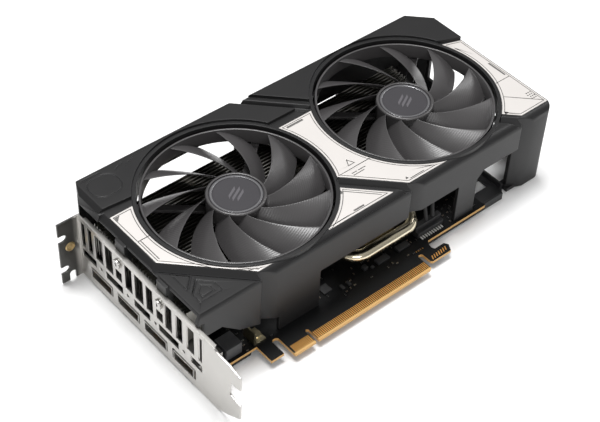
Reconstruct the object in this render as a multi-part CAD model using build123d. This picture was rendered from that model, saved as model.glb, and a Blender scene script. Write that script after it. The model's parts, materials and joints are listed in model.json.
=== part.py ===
from build123d import *
import math
import os

# Dual-fan graphics card lying on its backplate, fans up. Millimetres.
# Working datum: x = 0 at the bracket end of the edge contacts, y = 0 at the contact edge,
# z = 0 on the component side of the board. place() moves it to the footprint's centre.

# --- overall ---
BOTTOM_Z = -4.8
PLATE_TOP_Z = 43.1
RAISED_TOP_Z = 45.1
POCKET_Z = 41.7
LEDGE_Z = 40.6
TAIL_X = 178.4
CASE_LEFT_X = -43.3
FRONT_Y = 16.0
BACK_Y = 114.7
RIGHT_BACK_Y = 113.3
WALL = 2.0
CORNER_TOP_Z = 41.4
MARK_DEEP = 0.35

# --- slot bracket, standard full-height two-slot sizes ---
BRACKET_X = -44.8
BRACKET_THICK = 1.0
BRACKET_LOW_Z = -4.1
BRACKET_HIGH_Z = 34.64
BRACKET_TOP_Y = 105.1
TONGUE_Y = -14.92
TAB_REACH = 11.43
SLOT_PITCH = 20.32

# --- circuit board and its edge contacts ---
BOARD_THICK = 1.6
BOARD_LEFT_X = -42.6
BOARD_RIGHT_X = 136.0
BOARD_BACK_Y = 111.15
BOARD_FRONT_Y = 14.5
CONTACT_PITCH = 1.0
CONTACT_SIZE = (0.7, 4.2, 0.05)
FIRST_CONTACTS = 11
SECOND_CONTACTS = 71
KEY_X = 11.65
KEY_WIDE = 1.9

# --- fans ---
FAN_CENTRES = [(16.6, 64.9), (123.4, 64.9)]
APERTURE_R = 46.0
RIM_R = 47.8
RING_R = 44.8
HUB_R = 14.4
BLADES = 11
FAN_TOP_Z = 42.2
SHAFT_R = 1.5
SHAFT_TOP_Z = FAN_TOP_Z - 1.9
RUNNING_GAP = 0.03
MOUNT_Z = 29.8
ARM_ANGLES = [40, 140, 205, 320]
ARM_REACH = 51.0
LEAD_R = 1.0
LEAD_Z = 28.4
LEAD_EXIT_ANGLES = {"left": 300, "right": 240}
LEAD_EXIT_R = 13.0

# --- heatsink ---
FIN_TOP_Z = 27.0
FIN_LOW_Z = 6.2
FIN_PITCH = 2.0
FIN_THICK = 0.4
FIN_FIRST_Y = 31.0
FIN_LAST_Y = 101.0
PIPE_R = 3.0
PIPE_Z = 9.5

# --- seams between the casing's modules: lines x + y = seam ---
CORNER_SEAM = 8.0
MIDDLE_SEAM = 98.0
TAIL_SEAM = 172.5
BACK_SEAM = 168.0
TAIL_SPLIT_Y = 72.5

# --- display sockets ---
SOCKET_CENTRES_Y = [24.7, 45.7, 66.7, 87.7]

ORIGIN = ((BRACKET_X - TAB_REACH + TAIL_X) / 2, (TONGUE_Y + BACK_Y) / 2, BOTTOM_Z)
NODES = {}


def place(name, shape):
    """Move a finished piece to the part's own frame and keep it under its node name."""
    solids = shape.solids() if hasattr(shape, "solids") else [s for one in shape for s in one.solids()]
    moved = [Pos(-ORIGIN[0], -ORIGIN[1], -ORIGIN[2]) * solid for solid in solids]
    NODES[name] = Compound(children=moved) if len(moved) > 1 else moved[0]


def block(x0, x1, y0, y1, z0, z1):
    return Pos((x0 + x1) / 2, (y0 + y1) / 2, (z0 + z1) / 2) * Box(x1 - x0, y1 - y0, z1 - z0)


def disc(radius, z0, z1, at=(0, 0)):
    return Pos(at[0], at[1], (z0 + z1) / 2) * Cylinder(radius, z1 - z0)


def tube(outer, inner, z0, z1, at=(0, 0)):
    return disc(outer, z0, z1, at) - disc(inner, z0 - 1, z1 + 1, at)


def outline(points):
    return make_face(Polyline(points, close=True))


def prism(points, z0, z1):
    return Pos(0, 0, z0) * extrude(outline(points), amount=z1 - z0)


def prism_along_y(points_xz, y0, y1):
    plane = Plane(origin=(0, y1, 0), x_dir=(1, 0, 0), z_dir=(0, -1, 0))
    return extrude(plane * outline(points_xz), amount=y1 - y0)


def prism_along_x(points_yz, x0, x1):
    plane = Plane(origin=(x0, 0, 0), x_dir=(0, 1, 0), z_dir=(1, 0, 0))
    return extrude(plane * outline(points_yz), amount=x1 - x0)


def rod_x(radius, x0, x1, y, z):
    return Pos((x0 + x1) / 2, y, z) * Rot(0, 90, 0) * Cylinder(radius, x1 - x0)


def diagonal_wedge(points, low_y, high_y):
    """Prism along the casing's diagonals: points are (x + y, z), kept between two y values."""
    plane = Plane(origin=(0, 0, 0), x_dir=(1, 1, 0), z_dir=(1, -1, 0))
    face = plane * outline([(total / math.sqrt(2), z) for total, z in points])
    return extrude(face, amount=200, both=True) & block(-100, 250, low_y, high_y, -50, 100)


def at_fan(centre, radius, degrees):
    turn = math.radians(degrees)
    return (centre[0] + radius * math.cos(turn), centre[1] + radius * math.sin(turn))


# ---------------------------------------------------------------- casing

def casing_footprint():
    """Outer outline, with the notch that starts each module on the front wall."""
    front = [(CASE_LEFT_X, FRONT_Y)]
    for seam in (CORNER_SEAM, MIDDLE_SEAM, TAIL_SEAM):
        x = seam - FRONT_Y
        front += [(x, FRONT_Y), (x, FRONT_Y + 3.6), (x + 8.5, FRONT_Y)]
    back = [(TAIL_X, FRONT_Y), (TAIL_X, 101.5), (166.5, RIGHT_BACK_Y), (BACK_SEAM - RIGHT_BACK_Y, RIGHT_BACK_Y),
            (BACK_SEAM - BACK_Y, BACK_Y), (-38.0, BACK_Y), (CASE_LEFT_X, 104.0)]
    face = outline(front + back)
    corner = face.vertices().sort_by_distance((TAIL_X, FRONT_Y, 0))[0]
    return fillet(corner, 4.0)


def rounded_front_profile():
    """Depth profile of the casing: the front top edge is rounded."""
    points = [(FRONT_Y, BOTTOM_Z), (BACK_Y + 1, BOTTOM_Z), (BACK_Y + 1, PLATE_TOP_Z), (FRONT_Y, PLATE_TOP_Z)]
    face = outline(points)
    edge = face.vertices().sort_by_distance((FRONT_Y, PLATE_TOP_Z, 0))[0]
    plane = Plane(origin=(-60, 0, 0), x_dir=(0, 1, 0), z_dir=(1, 0, 0))
    return extrude(plane * fillet(edge, 4.5), amount=260)


def trim_outlines():
    """The four silver plates, each a polygon less the two rims."""
    rims = Sketch() + [Pos(x, y) * Circle(RIM_R + 0.2) for x, y in FAN_CENTRES]
    polygons = {
        "trim_left": [(-38.8, 86.5), (-38.8, 51.3), (-7.0, 19.5), (8.0, 19.5), (8.0, 64.9), (-10, 86.5)],
        "trim_centre": [(58.0, 86.5), (83.0, 86.5), (112.0, 30.0), (112.0, 19.5), (83.4, 19.5),
                        (58.4, 44.5), (50.0, 60.0)],
        "trim_front": [(34.0, 19.5), (73.3, 19.5), (52.0, 40.8), (30.0, 30.0)],
        "trim_tail": [(178.2, 20.0), (178.2, 80.8), (160.0, 87.0), (130.0, 64.9), (150.0, 29.7), (159.7, 20.0)],
    }
    return {name: outline(points) - rims for name, points in polygons.items()}


def raised_blocks():
    """Two thick black blocks along the back, each with a small bevel on its back edge."""
    rims = Sketch() + [Pos(x, y) * Circle(RIM_R) for x, y in FAN_CENTRES]
    left = outline([(CASE_LEFT_X, 91.8), (CASE_LEFT_X, 104.0), (-38.0, BACK_Y), (50.3, BACK_Y),
                    (74.1, 90.9), (50.0, 90.9), (16.6, 64.9), (-22.0, 90.0)]) - rims
    right = outline([(62.5, RIGHT_BACK_Y), (166.5, RIGHT_BACK_Y), (TAIL_X, 101.5), (TAIL_X, 81.2),
                     (166.0, 86.2), (123.4, 64.9), (84.0, 90.9), (84.9, 90.9)]) - rims
    blocks = []
    for face, back_y in ((left, BACK_Y), (right, RIGHT_BACK_Y)):
        body = Pos(0, 0, PLATE_TOP_Z) * extrude(face, amount=RAISED_TOP_Z - PLATE_TOP_Z)
        bevel = [(back_y - 1.0, RAISED_TOP_Z), (back_y, RAISED_TOP_Z - 1.0), (back_y + 1, RAISED_TOP_Z - 1.0),
                 (back_y + 1, RAISED_TOP_Z + 1), (back_y - 1.0, RAISED_TOP_Z + 1)]
        blocks.append(body - prism_along_x(bevel, -60, 200))
    return blocks


def front_openings():
    """Everything cut from the front wall, as outlines in x and z."""
    cuts = [
        # under the corner cap and its column, down past the board
        [(-60, -6), (-60, 25.8), (-30, 25.8), (-20, 16.6), (-9, 12.3), (3, 8.9), (3, -6)],
        # long opening that shows the heatpipes and runs on into the first window
        [(27, 0), (27, 23.4), (115.5, 23.4), (115.5, 0)],
        # second window, open to the backplate
        [(128.5, -6), (128.5, 21.0), (132.6, 25.2), (156.5, 25.2), (156.5, -6)],
        # clearance for the board and backplate edges
        [(-60, -6), (-60, 0), (156.5, 0), (156.5, -6)],
    ]
    return [prism_along_y(points, FRONT_Y - 2, FRONT_Y + 8) for points in cuts]


def back_openings():
    deep = (RIGHT_BACK_Y - WALL - 4, BACK_Y + 2)
    cuts = [
        [(-8, 7), (-8, 26.6), (-5, 29.6), (51, 29.6), (54, 26.6), (54, 7)],
        [(97, -6), (97, 16), (122, 16), (122, -6)],
        [(146, 6), (146, 11.5), (164, 11.5), (164, 6)],
        [(-60, -6), (-60, -1.6), (157, -1.6), (157, -6)],
    ]
    return [prism_along_y(points, *deep) for points in cuts]


def casing_shell():
    shell = extrude(Pos(0, 0, BOTTOM_Z) * casing_footprint(), amount=PLATE_TOP_Z - BOTTOM_Z)
    shell &= rounded_front_profile()
    inner = [(CASE_LEFT_X - 1, FRONT_Y + WALL)]
    for seam in (CORNER_SEAM, MIDDLE_SEAM, TAIL_SEAM):
        x = seam - FRONT_Y
        inner += [(x - 3, FRONT_Y + WALL), (x - 1, FRONT_Y + 5.8), (x + 1, FRONT_Y + 5.8), (x + 9, FRONT_Y + WALL)]
    inner += [(TAIL_X - WALL, FRONT_Y + WALL), (TAIL_X - WALL, 100.5), (165.7, RIGHT_BACK_Y - WALL),
              (CASE_LEFT_X - 1, RIGHT_BACK_Y - WALL)]
    shell -= prism(inner, BOTTOM_Z - 1, POCKET_Z - WALL)
    shell -= front_openings()
    shell -= back_openings()
    # bracket side: open below the bracket's lip, and a slanted shoulder above it
    shell -= block(CASE_LEFT_X - 1, -20, FRONT_Y + 5.8, RIGHT_BACK_Y - WALL, BOTTOM_Z - 1, 38)
    shell -= block(CASE_LEFT_X - 1, -39.5, FRONT_Y - 1, BACK_Y + 1, BOTTOM_Z - 1, 35.0)
    shoulder = [(CASE_LEFT_X - 1, 36.8), (CASE_LEFT_X, 36.8), (-41.6, 41.2), (-39.2, PLATE_TOP_Z),
                (-39.2, 60), (CASE_LEFT_X - 1, 60)]
    # tail wall: one large exhaust window behind four bars
    for k in range(5):
        y = 32.0 + k * 14.0
        shell -= block(TAIL_X - 6, TAIL_X + 1, y, y + 11.0, 6.0, 32.6)
    for centre in FAN_CENTRES:
        shell += tube(RIM_R, APERTURE_R, 34.0, PLATE_TOP_Z + 0.5, centre)
        shell -= disc(APERTURE_R, 30.0, 50.0, centre)
    shell += raised_blocks()
    shell -= prism_along_y(shoulder, 0, 90.5)
    shell -= prism_along_y([(x, z + 2.0) for x, z in shoulder], 90.5, 120)
    for face in trim_outlines().values():
        shell -= Pos(0, 0, POCKET_Z) * extrude(face, amount=3)
    return shell


def casing_bosses():
    """Posts under the top that take the fan screws, and two lugs that take the bracket screws."""
    posts = []
    for centre in FAN_CENTRES:
        for angle in ARM_ANGLES:
            at = at_fan(centre, ARM_REACH, angle)
            posts.append(disc(2.8, MOUNT_Z + 1.6, POCKET_Z - 1.0, at) - disc(1.0, MOUNT_Z, 39.0, at))
    lugs = []
    for y in (42.0, 73.0):
        lug = block(CASE_LEFT_X, -39.3, y - 3.5, y + 3.5, 24.5, LEDGE_Z) - block(-44, -42.2, 0, 110, 33.2, 35.0)
        lugs.append(lug - rod_x(1.25, -44, -39.8, y, 28.5))
    return posts, lugs


def groove(points, width):
    """A closed line of the given width about a plan outline."""
    middle = outline(points)
    return offset(middle, amount=width / 2) - offset(middle, amount=-width / 2)


def corner_marks():
    """Engraved panel lines on the corner cap: a triangle, a pair of bars and a five-sided frame in another."""
    triangle = groove([(-37.2, 42.4), (-31.8, 37.0), (-37.2, 31.6)], 0.5)
    bars = [Pos(-33.0 + step, 33.4 - step) * Rot(0, 0, 45) * Rectangle(8.0, 0.5) for step in (-0.6, 0.6)]
    frame = groove([(-37.0, 22.0), (-37.0, 27.6), (-30.6, 33.4), (-25.0, 27.8), (-25.0, 22.0)], 0.5)
    inner = groove([(-34.2, 24.2), (-34.2, 27.0), (-30.8, 30.0), (-28.0, 27.2), (-28.0, 24.2)], 0.5)
    lines = triangle + bars + frame + inner
    return Pos(0, 0, CORNER_TOP_Z - MARK_DEEP) * extrude(lines, amount=2)


def block_marks():
    """Engraved lines on the raised block by the bracket: a rounded frame, a row of hatches and three strokes."""
    frame = Pos(-29.6, 103.4) * (RectangleRounded(16.0, 14.0, 6.0) - RectangleRounded(15.0, 13.0, 5.5))
    hatches = [Pos(-36.4 + 1.1 * k, 111.9) * Rectangle(0.5, 1.3) for k in range(10)]
    strokes = [Pos(-18.6 + 3.0 * k, 109.8 + 0.9 * (k % 2)) * Rot(0, 0, 35) * Rectangle(2.8, 0.5) for k in range(4)]
    lines = frame + hatches + strokes
    return Pos(0, 0, RAISED_TOP_Z - MARK_DEEP) * extrude(lines, amount=2)


def seam_prism(shrink):
    """Plan of the left module's region, pulled in from the seams by half the gap."""
    s = shrink
    return [(CORNER_SEAM + s - 10, 10), (CORNER_SEAM + s - 70, 70), (-70, 130), (BACK_SEAM - s - 130, 130),
            (BACK_SEAM - s - 89, 89), (70 - s, 80), (70 - s, 50), (MIDDLE_SEAM - s - 41, 41),
            (MIDDLE_SEAM - s - 10, 10)]


def casing():
    shell = casing_shell()
    posts, lugs = casing_bosses()
    gap = 0.15
    # stepped tops at the seams: a sloped start on each module
    for seam, low, high in ((CORNER_SEAM, 10, 52), (MIDDLE_SEAM, 10, 43), (TAIL_SEAM, 10, 32)):
        shell -= diagonal_wedge([(seam - 2.2, LEDGE_Z), (seam - 2.2, 60), (seam + 4.2, 60),
                                 (seam + 4.2, PLATE_TOP_Z), (seam + 0.4, LEDGE_Z)], low, high) - fan_columns()
    shell -= diagonal_wedge([(BACK_SEAM - 2.8, 41.2), (BACK_SEAM - 2.8, 60), (BACK_SEAM + 6.0, 60),
                             (BACK_SEAM + 6.0, RAISED_TOP_Z), (BACK_SEAM + 3.0, 41.2)], 88.0, 120) - fan_columns()
    left_region = prism(seam_prism(gap), -20, 60)
    corner_region = prism([(CORNER_SEAM - gap - 10, 10), (CORNER_SEAM - gap - 70, 70), (-70, 70), (-70, 10)], -20, 60)
    tail_plan = [(TAIL_SEAM + gap - 10, 10), (TAIL_SEAM + gap - 40, 40), (150, TAIL_SPLIT_Y), (200, TAIL_SPLIT_Y),
                 (200, 10)]
    tail_region = prism(tail_plan, -20, 60) - disc(RIM_R + 2 * gap, 0, 70, FAN_CENTRES[1])
    wide_tail = prism([(x - 2 * gap, y + 2 * gap if y == TAIL_SPLIT_Y else y) for x, y in tail_plan[:4]]
                      + [(220, TAIL_SPLIT_Y + 2 * gap), (220, 10)], -20, 60)
    right_plan = [(x + 2 * gap, y) for x, y in seam_prism(gap)[3:]] + [(220, 10), (220, 130)]
    right_region = prism(right_plan, -20, 60) - (wide_tail - disc(RIM_R, 0, 70, FAN_CENTRES[1]))
    corner = (shell & corner_region) - block(-60, 20, 0, 60, CORNER_TOP_Z, 60) - corner_marks() + lugs[0]
    left = (shell & left_region) - block_marks() + posts[:4] + lugs[1]
    right = (shell & right_region) + posts[4:7]
    tail = (shell & tail_region) + posts[7]
    foot = block(155.4, 166.0, FRONT_Y + 1.5, FRONT_Y + 8, BOTTOM_Z, -2.6)
    tail += foot
    return corner, left, right, tail


def fan_columns():
    columns = [disc(RIM_R, 0, 70, centre) for centre in FAN_CENTRES]
    return columns[0] + columns[1]


# ---------------------------------------------------------------- fans

def blade():
    """One swept blade: flat sections across the radius, lofted from the hub to the ring."""
    stations = [(13.0, -44.0, 30.0, 9.0, 1.7), (20.0, -28.5, 28.0, 9.2, 1.5), (28.0, -16.5, 25.5, 9.0, 1.3),
                (36.0, -7.8, 23.5, 8.6, 1.15), (44.4, 0.0, 21.5, 7.6, 1.0)]
    faces = []
    for radius, lead, chord, drop, thick in stations:
        middle = lead - chord / 2
        half = radius * math.radians(chord) / 2
        plane = Plane(origin=(*at_fan((0, 0), radius, middle), FAN_TOP_Z - 1.0), z_dir=at_fan((0, 0), 1, middle) + (0,),
                      x_dir=at_fan((0, 0), 1, middle + 90) + (0,))
        slope = drop / (2 * half)
        camber = 0.09 * 2 * half
        middle_z = -drop / 2 + camber
        top = ThreePointArc((half, 0), (0, middle_z), (-half, -drop))
        low = ThreePointArc((-half + 0.2, -drop - 0.45), (0.1 + slope * 0.1, middle_z - thick), (half, -0.5))
        faces.append(plane * make_face([top, Line(top @ 1, low @ 0), low, Line(low @ 1, top @ 0)]))
    return loft(faces)


def rotor():
    cup = disc(HUB_R, FAN_TOP_Z - 10.0, FAN_TOP_Z - 0.4)
    cup = fillet(cup.edges().sort_by(Axis.Z)[-1], 0.9)
    cup -= disc(12.9, FAN_TOP_Z - 1.3, 50)
    cup -= disc(12.6, 28, FAN_TOP_Z - 2.6)
    cup -= disc(SHAFT_R, 28, SHAFT_TOP_Z)
    ring = tube(RING_R, 43.7, FAN_TOP_Z - 8.0, FAN_TOP_Z)
    one = blade() & disc(44.3, 28, 50)
    one -= disc(13.8, 28, 50)
    return cup + ring + [Rot(0, 0, k * 360 / BLADES) * one for k in range(BLADES)]


def motor_mount():
    """Base disc, bearing tube and four arms with screw eyes."""
    base = disc(14.6, MOUNT_Z, MOUNT_Z + 1.6)
    base += tube(4.2, 3.0, MOUNT_Z, MOUNT_Z + 8.2)
    for angle in ARM_ANGLES:
        arm = Rot(0, 0, angle) * block(12, ARM_REACH, -2.0, 2.0, MOUNT_Z, MOUNT_Z + 1.6)
        base += arm + disc(3.4, MOUNT_Z, MOUNT_Z + 1.6, at_fan((0, 0), ARM_REACH, angle))
    for angle in ARM_ANGLES:
        base -= disc(1.1, 28, 34, at_fan((0, 0), ARM_REACH, angle))
    return base - disc(3.0, MOUNT_Z + 0.6, 45)


def lead_exit(centre, side):
    """Small block under the base disc that the fan lead comes out of."""
    corner = block(LEAD_EXIT_R - 4.0, LEAD_EXIT_R, -1.5, 1.5, MOUNT_Z - 2.6, MOUNT_Z + 0.2)
    return Pos(*centre) * Rot(0, 0, LEAD_EXIT_ANGLES[side]) * corner


def stator():
    """Four-pole core with its windings as rounded blocks between the pole shoes."""
    low, high = MOUNT_Z + 2.8, MOUNT_Z + 7.6
    core = tube(6.0, 4.2, low, high)
    for k in range(4):
        arm = block(5.0, 9.6, -1.6, 1.6, low + 0.4, high - 0.4) + block(5.9, 8.8, -3.0, 3.0, low, high)
        core += Rot(0, 0, 90 * k + 45) * arm
    shoes = tube(10.7, 9.3, low + 0.4, high - 0.4)
    for k in range(4):
        shoes -= Rot(0, 0, 90 * k) * block(5, 12, -0.9, 0.9, low - 1, high + 1)
    return core + shoes


def fan_screw(at):
    return disc(2.1, MOUNT_Z - 1.2, MOUNT_Z, at) + disc(0.95, MOUNT_Z - 0.2, MOUNT_Z + 7.7, at)


def fans():
    spinning = rotor()
    mount = motor_mount()
    core = stator()
    for side, centre in zip(("left", "right"), FAN_CENTRES):
        spot = Pos(*centre)
        place(f"rotor_{side}", spot * spinning)
        place(f"hub_label_{side}", disc(12.7, FAN_TOP_Z - 1.3, FAN_TOP_Z - 0.8, centre))
        place(f"magnet_ring_{side}", tube(12.6, 11.3, MOUNT_Z + 3.2, MOUNT_Z + 9.2, centre))
        place(f"shaft_{side}", disc(SHAFT_R, MOUNT_Z + 1.4, SHAFT_TOP_Z, centre))
        place(f"bearing_{side}", tube(3.0, SHAFT_R + RUNNING_GAP, MOUNT_Z + 0.6, MOUNT_Z + 8.0, centre))
        place(f"motor_mount_{side}", spot * mount + lead_exit(centre, side))
        place(f"stator_{side}", spot * core)
        screws = [fan_screw(at_fan(centre, ARM_REACH, angle)) for angle in ARM_ANGLES]
        place(f"fan_screws_{side}", screws)


def bend_radii(points):
    """Each bend takes 0.45 of its shorter run, over the tangent of half the turn."""
    radii = []
    for before, at, after in zip(points, points[1:], points[2:]):
        run_in = Vector(*at) - Vector(*before)
        run_out = Vector(*after) - Vector(*at)
        turn = math.radians(run_in.get_angle(run_out))
        radii.append(0.45 * min(run_in.length, run_out.length) / math.tan(turn / 2))
    return radii


def lead(name, points):
    """A fan lead: straight runs joined by tangent arcs."""
    radii = bend_radii(points)
    path = FilletPolyline(*points, radius=radii)
    body = sweep(Plane(origin=path @ 0, z_dir=path % 0) * Circle(LEAD_R), path=path)
    print(name, "length", round(path.length, 1), "volume", round(body.volume, 1), "section times length",
          round(math.pi * LEAD_R ** 2 * path.length, 1), "radii", [round(radius, 1) for radius in radii])
    place(name, body)


def fan_leads():
    """Each lead runs between the fins and the motor mount, then drops behind the front wall to the header."""
    left_start = at_fan(FAN_CENTRES[0], LEAD_EXIT_R, LEAD_EXIT_ANGLES["left"])
    left_next = at_fan(FAN_CENTRES[0], LEAD_EXIT_R + 9.0, LEAD_EXIT_ANGLES["left"])
    right_start = at_fan(FAN_CENTRES[1], LEAD_EXIT_R, LEAD_EXIT_ANGLES["right"])
    right_next = at_fan(FAN_CENTRES[1], LEAD_EXIT_R + 9.0, LEAD_EXIT_ANGLES["right"])
    lead("fan_lead_left", [(*left_start, LEAD_Z), (*left_next, LEAD_Z), (34.5, 34.0, LEAD_Z), (45.0, 27.2, LEAD_Z),
                           (60.0, 25.4, LEAD_Z), (76.0, 24.8, LEAD_Z), (90.0, 24.8, LEAD_Z - 0.8),
                           (98.4, 24.4, 23.4), (100.8, 23.4, 15.2), (101.0, 21.6, 6.0)])
    lead("fan_lead_right", [(*right_start, LEAD_Z), (*right_next, LEAD_Z), (108.4, 35.0, LEAD_Z),
                            (106.4, 28.0, LEAD_Z - 1.0), (105.8, 24.4, 22.4), (105.5, 23.0, 14.4), (105.4, 21.6, 6.0)])


# ---------------------------------------------------------------- heatsink

def pipe_route(leg_a, leg_b, run_y, end_y, bend):
    return FilletPolyline((leg_a, end_y, PIPE_Z), (leg_a, run_y, PIPE_Z), (leg_b, run_y, PIPE_Z),
                          (leg_b, end_y, PIPE_Z), radius=bend)


def heatpipe(route, radius=PIPE_R):
    return sweep(Plane(origin=route @ 0, z_dir=route % 0) * Circle(radius), path=route)


PIPE_ROUTES = {
    "heatpipe_front_outer": pipe_route(51.0, 95.0, 20.6, 98.0, 9.5),
    "heatpipe_front_inner": pipe_route(58.5, 87.0, 27.2, 94.0, 8.0),
    "heatpipe_back_outer": pipe_route(43.5, -4.0, 108.6, 34.0, 9.5),
    "heatpipe_back_inner": pipe_route(36.0, 4.5, 102.0, 38.0, 8.0),
}


def heatsink():
    pipes = {name: heatpipe(route) for name, route in PIPE_ROUTES.items()}
    for name, pipe in pipes.items():
        place(name, pipe)
    plate = block(28.0, 72.0, 42.0, 90.0, 2.8, PIPE_Z - 0.3)
    for leg in (36.0, 43.5, 51.0, 58.5):
        plate -= Pos(leg, 66, PIPE_Z) * Rot(90, 0, 0) * Cylinder(PIPE_R, 80)
    place("cold_plate", plate)
    clear_plate = block(27.5, 72.5, 41.5, 90.5, 0, PIPE_Z - 0.1)
    low_parts = block(-60, -20, 0, 120, 0, 8.0) + block(99.5, 119.5, 95.5, 112, 0, 13.4)
    grooves = [heatpipe(route, PIPE_R + 0.02) for route in PIPE_ROUTES.values()]
    for name, x0, x1 in (("fin_stack_left", -38.0, 65.5), ("fin_stack_right", 73.0, 150.0)):
        count = round((FIN_LAST_Y - FIN_FIRST_Y) / FIN_PITCH) + 1
        fins = block(x0, x1, FIN_FIRST_Y, FIN_FIRST_Y + FIN_THICK, FIN_LOW_Z, FIN_TOP_Z)
        rows = [fins.moved(Location((0, k * FIN_PITCH, 0))) for k in range(count)]
        spans = [block(x, x + 3.0, FIN_FIRST_Y, FIN_LAST_Y + FIN_THICK, FIN_TOP_Z - 3.0, FIN_TOP_Z - 2.7)
                 for x in (x0 + 2.0, (x0 + x1) / 2, x1 - 5.0)]
        stack = rows[0] + rows[1:] + spans
        place(name, stack - clear_plate - low_parts - grooves)


# ---------------------------------------------------------------- board

def board():
    edge_low = [(BOARD_LEFT_X, BOARD_FRONT_Y), (-11.5, BOARD_FRONT_Y), (-11.5, 3.8), (-4.2, 3.8), (-4.2, 12.2),
                (-3.2, 13.2), (-1.6, 13.2), (-0.6, 12.2), (-0.6, 0.5), (0.0, 0.0), (KEY_X, 0.0), (KEY_X, 7.6),
                (KEY_X + 0.95, 8.5), (KEY_X + KEY_WIDE, 7.6), (KEY_X + KEY_WIDE, 0.0), (84.3, 0.0), (84.9, 0.5),
                (84.9, 9.0), (85.6, 10.0), (87.0, 10.0), (87.7, 9.0), (87.7, 3.8), (88.6, 2.9), (100.6, 2.9),
                (102.5, 6.4), (101.2, 8.5), (95.2, 8.5), (94.4, 10.0), (95.0, BOARD_FRONT_Y - 1.5),
                (96.5, BOARD_FRONT_Y), (BOARD_RIGHT_X, BOARD_FRONT_Y)]
    edge_high = [(BOARD_RIGHT_X, BOARD_BACK_Y), (BOARD_LEFT_X, BOARD_BACK_Y)]
    plate = prism(edge_low + edge_high, -BOARD_THICK, 0)
    for x, y in BOARD_SCREWS:
        plate -= disc(1.4, -5, 5, (x, y))
    for x, y in RETENTION_SCREWS:
        plate -= disc(1.7, -5, 5, (x, y))
    return plate


BOARD_SCREWS = [(-20.0, 106.0), (88.0, 106.0), (130.0, 106.0), (130.0, 20.0), (-33.0, 34.7)]
RETENTION_SCREWS = [(24.0, 38.0), (76.5, 38.0), (24.0, 94.0), (76.5, 94.0)]
PROCESSOR = (50.0, 66.0)


def edge_contacts():
    """Gold fingers on both faces of the connector's two sections."""
    wide, long, thick = CONTACT_SIZE
    starts = [(0.85, FIRST_CONTACTS), (KEY_X + KEY_WIDE + 0.65, SECOND_CONTACTS)]
    fingers = []
    for start, count in starts:
        for k in range(count):
            x = start + k * CONTACT_PITCH
            fingers.append(block(x - wide / 2, x + wide / 2, 1.2, 1.2 + long, 0, thick))
            fingers.append(block(x - wide / 2, x + wide / 2, 1.2, 1.2 + long, -BOARD_THICK - thick, -BOARD_THICK))
    return fingers


def processor():
    x, y = PROCESSOR
    package = block(x - 18, x + 18, y - 18, y + 18, 0.0, 1.6)
    die = block(x - 8.5, x + 8.5, y - 7.0, y + 7.0, 1.6, 2.8)
    place("processor_package", package)
    place("processor_die", die)
    chips = []
    pads = []
    for dx, dy in ((-11, -26.5), (4, -26.5), (25.5, -12), (25.5, 4), (-11, 26.5), (4, 26.5)):
        wide, deep = (6.5, 5.0) if dx < 20 else (5.0, 6.5)
        chips.append(block(x + dx - wide, x + dx + wide, y + dy - deep, y + dy + deep, 0, 1.1))
        pad = block(x + dx - wide + 1, x + dx + wide - 1, y + dy - deep + 1, y + dy + deep - 1, 1.1, 2.8)
        pads.append(pad & block(28.0, 72.0, 42.0, 90.0, 0, 5))
    place("memory_chips", chips)
    place("thermal_pads", [pad for pad in pads if pad.volume > 1])


def choke(x, y, size=6.6, tall=5.0):
    return block(x - size / 2, x + size / 2, y - size / 2, y + size / 2, 0, tall)


def small_parts():
    """Parts soldered to the component side."""
    chokes = [choke(-8.0, 32.0 + k * 11.0) for k in range(6)] + [choke(112.0, 36.0 + k * 12.0) for k in range(4)]
    chokes.append(block(-27.5, -18.5, 16.2, 25.2, 0, 7.0))
    place("power_inductors", chokes)
    transistors = [block(0.5, 6.0, 29.4 + k * 11.0, 34.6 + k * 11.0, 0, 1.0) for k in range(6)]
    transistors += [block(102.0, 107.5, 33.4 + k * 12.0, 38.6 + k * 12.0, 0, 1.0) for k in range(4)]
    place("power_transistors", transistors)
    cans = [disc(2.9, 0, 5.4, (-16.5, 32.0 + k * 11.0)) for k in range(6)]
    cans += [disc(2.9, 0, 5.4, (121.0, 42.0 + k * 12.0)) for k in range(3)]
    place("capacitors", cans)
    chips = [block(66.0, 73.5, 17.2, 20.6, 0, 1.2), block(79.5, 87.0, 17.4, 20.8, 0, 1.2),
             block(58.0, 60.5, 18.6, 21.0, 0, 1.8), block(42.0, 43.6, 16.0, 18.8, 0, 0.9),
             block(46.0, 47.6, 16.0, 18.8, 0, 0.9), block(33.0, 38.0, 19.0, 24.0, 0, 1.0),
             block(10.0, 14.0, 24.0, 28.0, 0, 0.9), block(62.0, 63.6, 17.4, 18.8, 0, 0.9)]
    place("small_chips", chips)
    lug = block(-12.0, -5.2, 15.4, 23.6, 0, 1.0) + block(-12.0, -11.0, 15.4, 23.6, 0, 8.0)
    place("mounting_lug", lug + disc(2.3, 0.8, 2.2, (-7.9, 19.5)))


def fan_header():
    housing = block(93.0, 110.0, 18.2, 23.0, 0, 3.4) + block(93.0, 110.0, 20.2, 23.0, 0, 6.0)
    pins = []
    for k in range(10):
        x = 94.75 + k * 1.5
        pins.append(block(x - 0.3, x + 0.3, 16.4, 18.2, 0.2, 0.7))
    place("fan_header", housing)
    place("fan_header_pins", pins)


def power_socket():
    """Eight-pin socket on the back edge: two rows of four square cells, open towards +y."""
    x0, pitch, cell = 100.2, 4.2, 3.5
    body = block(x0, x0 + 4 * pitch + 1.4, 96.0, BOARD_BACK_Y, 0, 10.6)
    pins = []
    for column in range(4):
        for row in range(2):
            x = x0 + 0.7 + (column + 0.5) * pitch
            z = 1.1 + (row + 0.5) * pitch
            body -= block(x - cell / 2, x + cell / 2, 99.0, 112, z - cell / 2, z + cell / 2)
            pins.append(block(x - 0.6, x + 0.6, 99.0, 109.0, z - 0.6, z + 0.6))
    place("power_socket", body + block(x0 + 7.0, x0 + 11.2, 104.0, 108.0, 10.6, 12.6))
    place("power_socket_pins", pins)


# ---------------------------------------------------------------- bracket end

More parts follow.
